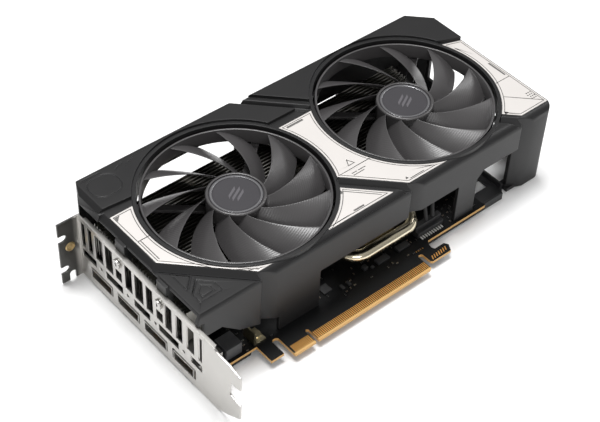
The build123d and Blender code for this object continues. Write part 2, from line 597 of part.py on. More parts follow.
def bracket_blank():
    """Flat outline of the bracket in y and z: two tongues at the slot end."""
    low, high = BRACKET_LOW_Z, BRACKET_HIGH_Z
    return [(BRACKET_TOP_Y, low), (BRACKET_TOP_Y, high), (3.0, high), (1.5, high - 1.2), (-7.5, high - 1.6),
            (TONGUE_Y, high - 3.4), (TONGUE_Y, high - 11.4), (-8.0, high - 12.4), (-8.0, low + 18.2),
            (TONGUE_Y, low + 17.2), (TONGUE_Y, low + 8.0), (-7.0, low + 3.2), (0.0, low)]


VENTS = [(11.4, 14.0), (17.0, 22.4), (25.4, 30.2), (33.0, 38.0), (47.0, 52.0), (54.2, 60.6), (62.6, 68.0),
         (77.6, 83.4), (85.4, 91.4), (93.8, 97.2), (99.4, 102.4)]
LOW_SLOTS = [(11.4, 19.6), (28.4, 43.0), (49.6, 61.6), (70.4, 83.6), (91.4, 102.4)]
BRACKET_SCREW_YS = [42.0, 73.0]


def bracket():
    x0, x1 = BRACKET_X, BRACKET_X + BRACKET_THICK
    plate = prism_along_x(bracket_blank(), x0, x1)
    for y0, y1 in VENTS:
        plate -= block(x0 - 1, x1 + 1, y0, y1, 16.6, 32.0)
    for y0, y1 in LOW_SLOTS:
        plate -= block(x0 - 1, x1 + 1, y0, y1, 10.0, 14.4)
    for y in BRACKET_SCREW_YS:
        plate -= block(x0 - 1, x1 + 1, y - 2.3, y + 2.5, 17.2, 23.2)
        plate -= rod_x(1.4, x0 - 1, x1 + 1, y, 28.5)
    for y in SOCKET_CENTRES_Y:
        plate -= block(x0 - 1, x1 + 1, y - 8.6, y + 8.6, 0.3, 7.0)
        plate -= rod_x(0.9, x0 - 1, x1 + 1, y, 12.2)
    tab = block(x0 - TAB_REACH, x0 + 0.2, BRACKET_TOP_Y - BRACKET_THICK, BRACKET_TOP_Y, BRACKET_LOW_Z,
                BRACKET_HIGH_Z)
    for z in TAB_NOTCH_ZS:
        tab -= block(x0 - TAB_REACH - 1, x0 - TAB_REACH + 2.2, 100, 110, z - 2.1, z + 2.1)
        tab -= Pos(x0 - TAB_REACH + 2.2, 105, z) * Rot(90, 0, 0) * Cylinder(2.1, 8)
    tab -= block(x0 - 7.2, x0 - 3.7, 100, 110, -6, -0.4)
    tab -= Pos(x0 - 5.45, 105, -0.4) * Rot(90, 0, 0) * Cylinder(1.75, 8)
    lip = block(x0, x0 + 2.2, 4.0, 101.0, BRACKET_HIGH_Z - BRACKET_THICK, BRACKET_HIGH_Z)
    return plate + tab + lip


TAB_NOTCH_ZS = [4.4, 4.4 + SLOT_PITCH]


def display_sockets():
    """Metal shells on the board that reach out through the bracket, each with a plastic tongue."""
    tongues = []
    for index, y in enumerate(SOCKET_CENTRES_Y):
        wide = 14.6 if index == 0 else 16.6
        half = wide / 2
        x0, x1 = BRACKET_X - 0.4, -28.6
        low, high = 0.5, 6.5
        shell = block(x0, x1, y - half, y + half, low, high)
        shell -= block(x0 - 1, x1 - 1.0, y - half + 0.4, y + half - 0.4, low + 0.4, high - 0.4)
        shell += block(-40.0, -30.0, y - half, y - half + 1.0, 0, low + 0.2)
        shell += block(-40.0, -30.0, y + half - 1.0, y + half, 0, low + 0.2)
        place("video_socket" if index == 0 else f"display_socket_{index}", shell)
        tongues.append(block(BRACKET_X + 1.2, x1 - 1.0, y - half + 2.0, y + half - 2.0, 3.0, 4.2))
    place("socket_tongues", tongues)


def bracket_fasteners():
    screws = []
    for y in BRACKET_SCREW_YS:
        head = rod_x(2.5, BRACKET_X - 1.3, BRACKET_X, y, 28.5)
        screws.append(head + rod_x(1.2, BRACKET_X - 0.5, -40.2, y, 28.5))
    place("bracket_screws", screws)
    rivet = Pos(-50.4, BRACKET_TOP_Y + 0.5, 17.8) * Rot(90, 0, 0) * Cylinder(2.9, 1.0)
    place("tab_screw", rivet)


# ---------------------------------------------------------------- back

def backplate():
    points = [(-41.0, 15.4), (-14.0, 15.4), (-12.0, 17.4), (94.0, 17.4), (96.0, 15.4), (150.0, 15.4), (154.8, 20.2),
              (154.8, 108.0), (151.6, 110.8), (-38.0, 110.8), (-41.0, 107.8)]
    plate = prism(points, BOTTOM_Z, BOTTOM_Z + 1.2)
    rim_low = BOTTOM_Z + 1.0
    plate += block(137.0, 150.0, 15.4, 16.6, rim_low, -0.4)
    plate += block(153.6, 154.8, 20.2, 108.0, rim_low, -0.4)
    for x, y in BOARD_SCREWS:
        plate += disc(3.0, rim_low, -BOARD_THICK, (x, y))
        plate -= disc(1.25, BOTTOM_Z - 1, 0, (x, y))
        plate -= disc(2.6, BOTTOM_Z - 1, BOTTOM_Z + 1.3, (x, y))
    window = block(18.0, 82.5, 32.0, 100.0, BOTTOM_Z - 1, 0)
    for k in range(8):
        plate -= block(140.0, 150.0, 26.0 + k * 10.0, 32.0 + k * 10.0, BOTTOM_Z - 1, 0)
    return plate - window


def back_fasteners():
    screws = []
    for x, y in BOARD_SCREWS:
        screws.append(disc(2.2, BOTTOM_Z + 0.1, BOTTOM_Z + 1.3, (x, y)) + disc(1.15, BOTTOM_Z + 0.5, 1.0, (x, y)))
    place("backplate_screws", screws)
    arms = []
    x, y = PROCESSOR
    for rx, ry in RETENTION_SCREWS:
        angle = math.degrees(math.atan2(ry - y, rx - x))
        length = math.hypot(rx - x, ry - y)
        arm = Pos(x, y, 0) * Rot(0, 0, angle) * block(4, length, -3.0, 3.0, -3.2, -2.2)
        arms.append(arm + disc(3.6, -3.2, -2.2, (rx, ry)))
    frame = block(x - 15, x + 15, y - 15, y + 15, -3.2, -2.2) - block(x - 9, x + 9, y - 9, y + 9, -5, 0)
    plate = frame + [arm - block(x - 9, x + 9, y - 9, y + 9, -5, 0) for arm in arms]
    pegs = []
    for at in RETENTION_SCREWS:
        plate -= disc(1.6, -5, 0, at)
        pegs.append(disc(2.8, -4.3, -3.2, at) + disc(1.5, -3.4, 5.2, at))
    place("retention_plate", plate)
    place("retention_screws", pegs)


# ---------------------------------------------------------------- build

corner_cap, shroud_left, shroud_right, tail_cap = casing()
place("shroud_corner", corner_cap)
place("shroud_left", shroud_left)
place("shroud_right", shroud_right)
place("shroud_tail", tail_cap)
for trim_name, trim_face in trim_outlines().items():
    place(trim_name, Pos(0, 0, POCKET_Z) * extrude(trim_face, amount=PLATE_TOP_Z - POCKET_Z))
fans()
fan_leads()
heatsink()
place("circuit_board", board())
place("edge_contacts", edge_contacts())
processor()
small_parts()
fan_header()
power_socket()
place("slot_bracket", bracket())
display_sockets()
bracket_fasteners()
place("backplate", backplate())
back_fasteners()

os.makedirs("parts", exist_ok=True)
for node_name, node_shape in NODES.items():
    export_step(node_shape, f"parts/{node_name}.step")
print(len(NODES), "nodes")
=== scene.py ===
import json
import math
import random

import bmesh
import bpy
from mathutils import Matrix, Quaternion, Vector
from mathutils.bvhtree import BVHTree


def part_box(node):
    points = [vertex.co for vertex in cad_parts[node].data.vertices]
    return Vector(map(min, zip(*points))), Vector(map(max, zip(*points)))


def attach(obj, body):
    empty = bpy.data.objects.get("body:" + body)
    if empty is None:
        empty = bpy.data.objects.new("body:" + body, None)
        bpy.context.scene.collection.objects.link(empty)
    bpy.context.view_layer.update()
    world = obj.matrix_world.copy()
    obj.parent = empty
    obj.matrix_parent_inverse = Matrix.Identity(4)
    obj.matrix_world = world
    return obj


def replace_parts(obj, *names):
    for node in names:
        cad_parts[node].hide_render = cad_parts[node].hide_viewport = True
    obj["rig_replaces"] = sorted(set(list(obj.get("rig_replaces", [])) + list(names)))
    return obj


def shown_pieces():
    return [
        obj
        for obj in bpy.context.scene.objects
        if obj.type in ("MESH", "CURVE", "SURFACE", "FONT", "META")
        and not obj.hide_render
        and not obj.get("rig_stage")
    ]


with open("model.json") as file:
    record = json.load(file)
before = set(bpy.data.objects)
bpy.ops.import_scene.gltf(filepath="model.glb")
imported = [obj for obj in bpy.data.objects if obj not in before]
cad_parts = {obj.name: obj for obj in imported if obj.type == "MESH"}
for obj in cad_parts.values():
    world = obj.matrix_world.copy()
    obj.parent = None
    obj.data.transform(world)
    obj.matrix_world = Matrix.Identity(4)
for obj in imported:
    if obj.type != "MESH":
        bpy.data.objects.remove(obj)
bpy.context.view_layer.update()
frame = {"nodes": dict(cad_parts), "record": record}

# Finishes and fine detail for a dual-fan graphics card lying on its backplate, fans up.
# Lengths below are millimetres in the maker's datum: x from the bracket end of the edge contacts,
# y from the contact edge, z from the component side of the board. at() turns them into the frame.

MM = 0.001
BOARD_LEFT = 42.6

board_low, board_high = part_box("circuit_board")
DATUM = Vector((board_low.x + BOARD_LEFT * MM, board_low.y, board_high.z))


def at(x, y, z):
    """A point given in the datum's millimetres, in the frame."""
    return DATUM + Vector((x, y, z)) * MM


def place_mm(point):
    """A frame point back in the datum's millimetres."""
    return (Vector(point) - DATUM) / MM


def span_mm(node):
    low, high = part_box(node)
    return place_mm(low), place_mm(high)


def node_centre(node):
    low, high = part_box(node)
    return (low + high) / 2


FANS = {"left": node_centre("rotor_left"), "right": node_centre("rotor_right")}
BLADES = 11
TAB_THICK = 1.0
WELD = 1e-6
SMOOTH_ANGLE = 32.0


def link(name, data):
    made = bpy.data.objects.new(name, data)
    bpy.context.scene.collection.objects.link(made)
    return made


# ---------------- camera, light, floor

CAMERA_PLACE = (-0.3451, -0.3593, 0.5115)
CAMERA_AZIMUTH = -42.32
CAMERA_ELEVATION = 44.72
CAMERA_ROLL = 2.81
CAMERA_LENS = 87.07
CAMERA_SENSOR = 36.0
CAMERA_CLIP = (0.01, 20.0)
SKY_LOW, SKY_HIGH = 0.25, 0.46
SKY_COLOUR = (1.0, 0.995, 0.99, 1)
SOFTBOX_AIM = (0, 0, 0.02)
# Name, place, width and height in metres, and watts.
SOFTBOXES = (
    ("softbox_over", (0.0, 0.30, 1.5), (0.7, 0.5), 24.0),
    ("softbox_right", (1.1, -0.1, 0.85), (0.35, 0.6), 4.0),
    ("softbox_front", (-0.55, -1.2, 0.7), (0.7, 0.4), 5.0),
)
FLOOR_HALF = 6.0
FLOOR_CELLS = 8
FLOOR_SINK = 0.0002


def make_camera():
    data = bpy.data.cameras.new("camera")
    data.sensor_width = CAMERA_SENSOR
    data.lens = CAMERA_LENS
    data.clip_start, data.clip_end = CAMERA_CLIP
    camera = link("camera", data)
    turn, rise = math.radians(CAMERA_AZIMUTH), math.radians(CAMERA_ELEVATION)
    back = Vector((math.sin(turn) * math.cos(rise), -math.cos(turn) * math.cos(rise), math.sin(rise)))
    camera.rotation_mode = "QUATERNION"
    roll = Quaternion((0, 0, 1), math.radians(CAMERA_ROLL))
    camera.rotation_quaternion = (-back).to_track_quat("-Z", "Y") @ roll
    camera.location = CAMERA_PLACE
    bpy.context.scene.camera = camera


def make_softbox(name, place, size, power):
    data = bpy.data.lights.new(name, "AREA")
    data.shape = "RECTANGLE"
    data.size, data.size_y = size
    data.energy = power
    lamp = link(name, data)
    lamp.location = place
    lamp.rotation_mode = "QUATERNION"
    lamp.rotation_quaternion = (Vector(SOFTBOX_AIM) - Vector(place)).to_track_quat("-Z", "Y")


def make_world():
    """A pale surround, brighter toward the top."""
    world = bpy.data.worlds.new("studio")
    bpy.context.scene.world = world
    world.use_nodes = True
    tree = world.node_tree
    sky = tree.nodes["Background"]
    ramp = node(tree, "ShaderNodeMapRange")
    tree.links.new(part_of(tree, coordinates(tree, "Generated"), "Z"), ramp.inputs["Value"])
    ramp.inputs["To Min"].default_value = SKY_LOW
    ramp.inputs["To Max"].default_value = SKY_HIGH
    tree.links.new(ramp.outputs["Result"], sky.inputs["Strength"])
    sky.inputs["Color"].default_value = SKY_COLOUR


def make_floor():
    mesh = bpy.data.meshes.new("floor")
    floor = link("floor", mesh)
    bm = bmesh.new()
    bmesh.ops.create_grid(bm, x_segments=FLOOR_CELLS, y_segments=FLOOR_CELLS, size=FLOOR_HALF)
    bm.to_mesh(mesh)
    bm.free()
    floor.location.z = -FLOOR_SINK
    mesh.materials.append(floor_paper())
    floor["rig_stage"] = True


def make_studio():
    make_world()
    for row in SOFTBOXES:
        make_softbox(*row)
    make_floor()
    view = bpy.context.scene.view_settings
    view.view_transform = "Standard"
    view.look = "None"


# ---------------- shader groups

def shader_group(name, inputs, outputs):
    """A new shader node group with named sockets; returns the tree and its two end nodes."""
    tree = bpy.data.node_groups.new(name, "ShaderNodeTree")
    for label, kind, value in inputs:
        socket = tree.interface.new_socket(label, in_out="INPUT", socket_type="NodeSocket" + kind)
        socket.default_value = value
    for label, kind in outputs:
        tree.interface.new_socket(label, in_out="OUTPUT", socket_type="NodeSocket" + kind)
    return tree, tree.nodes.new("NodeGroupInput"), tree.nodes.new("NodeGroupOutput")


def node(tree, kind, **settings):
    made = tree.nodes.new(kind)
    for key, value in settings.items():
        setattr(made, key, value)
    return made


def feed(tree, value, socket):
    """Gives a socket its value: a link from another socket, or a constant."""
    if isinstance(value, bpy.types.NodeSocket):
        tree.links.new(value, socket)
    else:
        socket.default_value = value


def math_node(tree, operation, first, second=None, clamp=False):
    made = node(tree, "ShaderNodeMath", operation=operation, use_clamp=clamp)
    feed(tree, first, made.inputs[0])
    if second is not None:
        feed(tree, second, made.inputs[1])
    return made.outputs[0]


def mix_colours(tree, share, first, second, blend_type="MIX"):
    """The colour at a share of the way from first to second. The colour sockets have no names of their own."""
    made = node(tree, "ShaderNodeMix", data_type="RGBA", blend_type=blend_type)
    for index, value in ((0, share), (6, first), (7, second)):
        feed(tree, value, made.inputs[index])
    return made.outputs[2]


def part_of(tree, vector, axis):
    split = node(tree, "ShaderNodeSeparateXYZ")
    tree.links.new(vector, split.inputs[0])
    return split.outputs[axis]


def coordinates(tree, kind="Object"):
    return node(tree, "ShaderNodeTexCoord").outputs[kind]


def make_grain_group():
    """Moulded or blasted skin: fine bumps, with a stretch for brushed metal."""
    tree, enter, leave = shader_group(
        "surface_grain",
        [("Scale", "Float", 900.0), ("Stretch", "Vector", (1, 1, 1)), ("Detail", "Float", 2.0)],
        [("Height", "Float")])
    stretch = node(tree, "ShaderNodeVectorMath", operation="MULTIPLY")
    tree.links.new(coordinates(tree), stretch.inputs[0])
    tree.links.new(enter.outputs["Stretch"], stretch.inputs[1])
    noise = node(tree, "ShaderNodeTexNoise")
    tree.links.new(stretch.outputs[0], noise.inputs["Vector"])
    tree.links.new(enter.outputs["Scale"], noise.inputs["Scale"])
    tree.links.new(enter.outputs["Detail"], noise.inputs["Detail"])
    tree.links.new(noise.outputs["Fac"], leave.inputs["Height"])
    return tree


def make_mottle_group():
    """Slow change across a surface: a colour between two, and a roughness between two."""
    tree, enter, leave = shader_group(
        "slow_mottle",
        [("Light", "Color", (1, 1, 1, 1)), ("Dark", "Color", (0, 0, 0, 1)), ("Scale", "Float", 30.0),
         ("Smooth", "Float", 0.9), ("Rough", "Float", 1.1)],
        [("Color", "Color"), ("Roughness", "Float")])
    noise = node(tree, "ShaderNodeTexNoise")
    noise.inputs["Detail"].default_value = 3.0
    tree.links.new(coordinates(tree), noise.inputs["Vector"])
    tree.links.new(enter.outputs["Scale"], noise.inputs["Scale"])
    tone = mix_colours(tree, noise.outputs["Fac"], enter.outputs["Dark"], enter.outputs["Light"])
    tree.links.new(tone, leave.inputs["Color"])
    spread = node(tree, "ShaderNodeMapRange")
    tree.links.new(noise.outputs["Fac"], spread.inputs["Value"])
    tree.links.new(enter.outputs["Smooth"], spread.inputs["To Min"])
    tree.links.new(enter.outputs["Rough"], spread.inputs["To Max"])
    tree.links.new(spread.outputs["Result"], leave.inputs["Roughness"])
    return tree


def make_edge_group():
    """Rounded edges: how far the softened normal leans from the flat one. The mask places a painted highlight;
    the normal rounds the shading.
    """
    tree, enter, leave = shader_group(
        "edge_wear", [("Radius", "Float", 0.0004), ("Amount", "Float", 1.0)],
        [("Mask", "Float"), ("Normal", "Vector")])
    soft = node(tree, "ShaderNodeBevel", samples=4)
    tree.links.new(enter.outputs["Radius"], soft.inputs["Radius"])
    flat = node(tree, "ShaderNodeNewGeometry")
    lean = node(tree, "ShaderNodeVectorMath", operation="DOT_PRODUCT")
    tree.links.new(soft.outputs["Normal"], lean.inputs[0])
    tree.links.new(flat.outputs["Normal"], lean.inputs[1])
    gap = math_node(tree, "SUBTRACT", 1.0, lean.outputs["Value"], clamp=True)
    mask = math_node(tree, "MULTIPLY", gap, enter.outputs["Amount"], clamp=True)
    tree.links.new(mask, leave.inputs["Mask"])
    tree.links.new(soft.outputs["Normal"], leave.inputs["Normal"])
    return tree


GRAIN = make_grain_group()
MOTTLE = make_mottle_group()
EDGE = make_edge_group()


# ---------------- materials

RIB_HEIGHT, COPPER_HEIGHT = 0.6, 1.5
LAMINATE = (0.58, 0.35, 0.13, 1)
LIP_DEEP = 1.1
# Datum x where the painted shade on the bracket tab is full and where it ends, and how dark it gets.
FOLD_SHADE_FULL, FOLD_SHADE_END, TAB_SHADE = -48.5, -45.5, 0.18


def place_group(tree, group, **values):
    made = node(tree, "ShaderNodeGroup", node_tree=group)
    for label, value in values.items():
        made.inputs[label].default_value = value
    return made


def finish(name, light, dark=None, rough=0.5, metal=0.0, spread=0.12, tone_scale=35.0, grain=0.15,
           grain_scale=900.0, stretch=(1, 1, 1), bump_mm=0.02, edge_highlight=None, edge_radius=0.00035,
           specular=0.5):
    """A material whose tone, roughness and fine bumps change over the surface, and whose rounded edges can take
    a lighter colour: a painted highlight.
    """
    material = bpy.data.materials.new(name)
    material.use_nodes = True
    tree = material.node_tree
    shader = tree.nodes["Principled BSDF"]
    shader.inputs["Metallic"].default_value = metal
    shader.inputs["Specular IOR Level"].default_value = specular
    dark = dark or tuple(0.82 * part for part in light)
    mottle = place_group(tree, MOTTLE, Light=(*light, 1), Dark=(*dark, 1), Scale=tone_scale,
                         Smooth=rough * (1 - spread), Rough=rough * (1 + spread))
    tree.links.new(mottle.outputs["Roughness"], shader.inputs["Roughness"])
    colour = mottle.outputs["Color"]
    bump = node(tree, "ShaderNodeBump", name="bump")
    bump.inputs["Strength"].default_value = grain
    bump.inputs["Distance"].default_value = bump_mm * MM
    # Rounded edges take a lighter colour here: a painted highlight.
    if edge_highlight:
        highlight_edges = place_group(tree, EDGE, Radius=edge_radius, Amount=1.0)
        colour = mix_colours(tree, highlight_edges.outputs["Mask"], colour, (*edge_highlight, 1))
        tree.links.new(highlight_edges.outputs["Normal"], bump.inputs["Normal"])
    tree.links.new(colour, shader.inputs["Base Color"])
    skin = place_group(tree, GRAIN, Scale=grain_scale, Stretch=stretch)
    tree.links.new(skin.outputs["Height"], bump.inputs["Height"])
    tree.links.new(bump.outputs["Normal"], shader.inputs["Normal"])
    return material


def add_height(tree, source):
    """Adds another height to what the material's bump already reads."""
    height = tree.nodes["bump"].inputs["Height"]
    tree.links.new(math_node(tree, "ADD", height.links[0].from_socket, source), height)


def recolour(tree, share, colour, blend_type="MIX"):
    """Mixes another colour into what the shader already takes."""
    base = tree.nodes["Principled BSDF"].inputs["Base Color"]
    tree.links.new(mix_colours(tree, share, base.links[0].from_socket, colour, blend_type), base)


def floor_paper():
    return finish("floor_paper", (0.93, 0.93, 0.93), (0.91, 0.91, 0.91), rough=0.85, grain=0.05, grain_scale=60,
                  specular=0.2)


def fan_plastic():
    """Dark moulded blades with fine ribs that follow the blade's own chord lines."""
    # The lighter edge colour on the blades is a painted highlight.
    material = finish("fan_plastic", (0.058, 0.055, 0.056), (0.046, 0.044, 0.045), rough=0.34, spread=0.08,
                      grain=0.4, grain_scale=1400, bump_mm=0.05, edge_highlight=(0.20, 0.20, 0.205),
                      edge_radius=0.00025, specular=0.62)
    tree = material.node_tree
    ribs = node(tree, "ShaderNodeUVMap", uv_map="blade")
    turns = math_node(tree, "MULTIPLY", part_of(tree, ribs.outputs["UV"], "Y"), 2 * math.pi)
    add_height(tree, math_node(tree, "MULTIPLY", math_node(tree, "SINE", turns), RIB_HEIGHT))
    return material


def board_mask():
    """Black solder mask with faint copper runs under it on the faces, and tan laminate on the cut edges."""
    material = finish("board_mask", (0.004, 0.0042, 0.0045), (0.002, 0.0022, 0.0025), rough=0.42, grain=0.3,
                      grain_scale=500, specular=0.22)
    tree = material.node_tree
    runs = node(tree, "ShaderNodeTexBrick", offset=0.35, squash=1.0)
    for label, value in (("Scale", 260.0), ("Mortar Size", 0.035), ("Brick Width", 2.3), ("Row Height", 0.28)):
        runs.inputs[label].default_value = value
    tree.links.new(coordinates(tree), runs.inputs["Vector"])
    add_height(tree, math_node(tree, "MULTIPLY", runs.outputs["Fac"], COPPER_HEIGHT))
    facing = node(tree, "ShaderNodeNewGeometry").outputs["True Normal"]
    upright = math_node(tree, "ABSOLUTE", part_of(tree, facing, "Z"))
    cut_edge = math_node(tree, "LESS_THAN", upright, 0.5)
    bevelled_lip = math_node(tree, "LESS_THAN", part_of(tree, coordinates(tree), "Y"), at(0, LIP_DEEP, 0).y)
    recolour(tree, math_node(tree, "MAXIMUM", cut_edge, bevelled_lip), LAMINATE)
    return material


def bracket_metal():
    """Plated sheet steel, full colour near the board and darkened toward the folded mounting tab: painted shade
    for the dark surroundings that the tab reflects.
    """
    # The lighter edge colour is a painted highlight.
    material = finish("bracket_steel", (0.56, 0.545, 0.52), (0.47, 0.46, 0.44), rough=0.30, metal=0.95,
                      grain=0.25, grain_scale=1100, tone_scale=60, edge_highlight=(0.85, 0.84, 0.82))
    tree = material.node_tree
    # Painted shade: the colour is darkened toward the folded tab.
    tab_shade = node(tree, "ShaderNodeMapRange", interpolation_type="SMOOTHSTEP")
    tree.links.new(part_of(tree, coordinates(tree), "X"), tab_shade.inputs["Value"])
    tab_shade.inputs["From Min"].default_value = at(FOLD_SHADE_FULL, 0, 0).x
    tab_shade.inputs["From Max"].default_value = at(FOLD_SHADE_END, 0, 0).x
    tab_shade.inputs["To Min"].default_value = TAB_SHADE
    recolour(tree, 1.0, tab_shade.outputs["Result"], "MULTIPLY")
    return material


def sleeve_weave():
    """Braided black sleeve on a fan lead: fine diagonal strands."""
    material = finish("sleeve_weave", (0.020, 0.020, 0.021), rough=0.7, grain=0.6, grain_scale=1500,
                      bump_mm=0.08)
    tree = material.node_tree
    weave = node(tree, "ShaderNodeTexWave", wave_type="BANDS", bands_direction="DIAGONAL")
    weave.inputs["Scale"].default_value = 900.0
    tree.links.new(coordinates(tree), weave.inputs["Vector"])
    add_height(tree, weave.outputs["Fac"])
    return material


# The lighter edge colours given to these finishes are painted highlights.
PAINTS = {
    "case_black": finish("case_black", (0.017, 0.0167, 0.017), (0.012, 0.012, 0.0125), rough=0.38, spread=0.10,
                         grain=0.35, grain_scale=1300, bump_mm=0.04, edge_highlight=(0.14, 0.14, 0.145),
                         edge_radius=0.0004, specular=0.30),
    "trim_silver": finish("trim_silver", (0.66, 0.63, 0.605), (0.60, 0.575, 0.555), rough=0.42, metal=0.25,
                          grain=0.25, grain_scale=1600, spread=0.08, edge_highlight=(0.85, 0.83, 0.8)),
    "fan_black": fan_plastic(),
    "label_black": finish("label_black", (0.045, 0.043, 0.048), rough=0.30, grain=0.05),
    "magnet": finish("magnet", (0.16, 0.16, 0.16), rough=0.6, grain=0.4, grain_scale=700),
    "steel": finish("steel", (0.60, 0.59, 0.57), rough=0.30, metal=1.0, stretch=(1, 12, 1),
                    edge_highlight=(0.9, 0.9, 0.9)),
    "bronze": finish("bronze", (0.66, 0.50, 0.26), rough=0.35, metal=1.0, grain_scale=700),
    "winding": finish("winding", (0.62, 0.27, 0.10), rough=0.35, metal=0.8, stretch=(1, 1, 14), grain=0.8),
    "screw_black": finish("screw_black", (0.06, 0.06, 0.062), rough=0.32, metal=0.8,
                          edge_highlight=(0.35, 0.35, 0.35)),
    "lead_black": sleeve_weave(),
    "fin_metal": finish("fin_metal", (0.46, 0.45, 0.42), (0.36, 0.35, 0.32), rough=0.34, metal=1.0,
                        stretch=(1, 1, 9), grain=0.3),
    "nickel": finish("nickel", (0.80, 0.73, 0.56), (0.72, 0.65, 0.48), rough=0.20, metal=1.0, grain=0.15,
                     grain_scale=500),
    "board_black": board_mask(),
    "gold": finish("gold", (1.0, 0.54, 0.15), (0.92, 0.45, 0.11), rough=0.34, metal=1.0, tone_scale=220,
                   grain=0.2),
    "package": finish("package", (0.03, 0.07, 0.045), rough=0.5, grain=0.2),
    "silicon": finish("silicon", (0.30, 0.31, 0.34), rough=0.08, metal=0.7, grain=0.02),
    "chip": finish("chip", (0.022, 0.022, 0.023), rough=0.55, grain=0.5, grain_scale=2200,
                   edge_highlight=(0.08, 0.08, 0.08)),
    "pad": finish("pad", (0.42, 0.50, 0.55), rough=0.8, grain=0.4),
    "ferrite": finish("ferrite", (0.055, 0.057, 0.060), (0.040, 0.040, 0.042), rough=0.5, grain=0.7,
                      grain_scale=1800, edge_highlight=(0.16, 0.16, 0.16)),
    "can": finish("can", (0.72, 0.72, 0.73), rough=0.25, metal=1.0, stretch=(1, 1, 10)),
    "socket_plastic": finish("socket_plastic", (0.018, 0.018, 0.019), rough=0.42, grain=0.25,
                             edge_highlight=(0.07, 0.07, 0.07)),
    "pin": finish("pin", (0.85, 0.84, 0.80), rough=0.35, metal=0.3, grain=0.1),
    "bracket_steel": bracket_metal(),
    "back_black": finish("back_black", (0.028, 0.028, 0.030), rough=0.45, metal=0.3, grain=0.5,
                         grain_scale=1500, bump_mm=0.05, edge_highlight=(0.12, 0.12, 0.12)),
}
# A flat dark colour for the faces of cut grooves and recesses: painted shade.
GROOVE_SHADE = finish("engraved_line", (0.13, 0.125, 0.12), rough=0.6, grain=0.2)
SOLDER = finish("solder", (0.42, 0.42, 0.40), rough=0.3, metal=1.0, grain=0.5, grain_scale=1500)
CERAMIC = finish("ceramic_body", (0.14, 0.10, 0.07), rough=0.5, grain=0.3)
RESISTOR = finish("resistor_body", (0.02, 0.02, 0.022), rough=0.35, grain=0.3)
LUG_BRASS = finish("lug_brass", (0.78, 0.70, 0.48), (0.66, 0.58, 0.38), rough=0.3, metal=1.0, grain=0.3)
RIM_METAL = finish("rim_metal", (0.30, 0.30, 0.31), rough=0.25, metal=0.8, grain=0.1)


# ---------------- mesh helpers

def settle(piece, smooth_angle=SMOOTH_ANGLE):
    """Turns a piece with modifiers into a plain mesh, shaded smooth below the angle."""
    bpy.context.view_layer.update()
    graph = bpy.context.evaluated_depsgraph_get()
    mesh = bpy.data.meshes.new_from_object(piece.evaluated_get(graph), depsgraph=graph)
    piece.modifiers.clear()
    piece.data = mesh
    mesh.name = piece.name
    if smooth_angle:
        mesh.shade_smooth()
        mesh.set_sharp_from_angle(angle=math.radians(smooth_angle))
    return piece


def keep(piece, body, slot, *nodes):
    """The piece rides on its body and stands for the nodes named. The slot argument is not used."""
    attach(piece, body)
    if nodes:
        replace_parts(piece, *nodes)
    return piece


def body_of_node(name):
    bodies = frame["record"]["behaviour"]["bodies"]
    return next(body for body, names in bodies.items() if name in names)


FLAT_LIMIT = 1.0
CUT_TOLERANCE = 2e-6
BEVEL_SEGMENTS = 2
BEVEL_FROM = 38.0
SLOT_OF = {row["node"]: row["material_slot"] for row in frame["record"]["subparts"]}


def merged_copy(name, label, whole_faces=False):
    """A copy of a node's mesh, its loose triangles merged; whole_faces keeps each flat face in one piece."""
    mesh = frame["nodes"][name].data.copy()
    mesh.name = label
    bm = bmesh.new()
    bm.from_mesh(mesh)
    bmesh.ops.remove_doubles(bm, verts=bm.verts, dist=WELD)
    bmesh.ops.dissolve_limit(bm, angle_limit=math.radians(FLAT_LIMIT), verts=bm.verts, edges=bm.edges,
                             delimit={"NORMAL"})
    if not whole_faces:
        bmesh.ops.triangulate(bm, faces=bm.faces[:], quad_method="BEAUTY", ngon_method="BEAUTY")
    bm.to_mesh(mesh)
    bm.free()
    if "custom_normal" in mesh.attributes:
        mesh.attributes.remove(mesh.attributes["custom_normal"])
    mesh.materials.clear()
    return link(label, mesh)


def darken_cut(mesh, cutter, paint):
    """The faces that a cutter left behind, those that lie on its surface, take a flat dark colour: painted
    shade in the grooves.
    """
    bm = bmesh.new()
    bm.from_mesh(cutter.data)
    surface = BVHTree.FromBMesh(bm)
    bm.free()
    mesh.materials.clear()
    mesh.materials.append(paint)
    mesh.materials.append(GROOVE_SHADE)
    for face in mesh.polygons:
        gap = surface.find_nearest(face.center)[3]
        face.material_index = 1 if gap is not None and gap < CUT_TOLERANCE else 0


def refine(name, label, round_mm=0.0, cutter=None, paint=None):
    """A finished stand-in for a node: its own shape, engraved where asked, with rounded edges."""
    piece = merged_copy(name, label)
    paint = paint or PAINTS[SLOT_OF[name]]
    piece.data.materials.append(paint)
    if round_mm:
        bevel = piece.modifiers.new("round", "BEVEL")
        bevel.width = round_mm * MM
        bevel.segments = BEVEL_SEGMENTS
        bevel.limit_method = "ANGLE"
        bevel.angle_limit = math.radians(BEVEL_FROM)
        bevel.use_clamp_overlap = False
        bevel.loop_slide = False
        bevel.miter_outer = "MITER_ARC"
    if cutter:
        cut = piece.modifiers.new("engrave", "BOOLEAN")
        cut.operation, cut.solver, cut.object = "DIFFERENCE", "MANIFOLD", cutter
    settle(piece)
    if round_mm:
        weigh = piece.modifiers.new("flat_faces", "WEIGHTED_NORMAL")
        weigh.keep_sharp = True
        settle(piece, None)
    if cutter:
        darken_cut(piece.data, cutter, paint)
        bpy.data.objects.remove(cutter)
    return keep(piece, body_of_node(name), SLOT_OF[name], name)


def repaint(name):
    """A node whose own shape is right gets its finish."""
    data = frame["nodes"][name].data
    data.materials.clear()
    data.materials.append(PAINTS[SLOT_OF[name]])


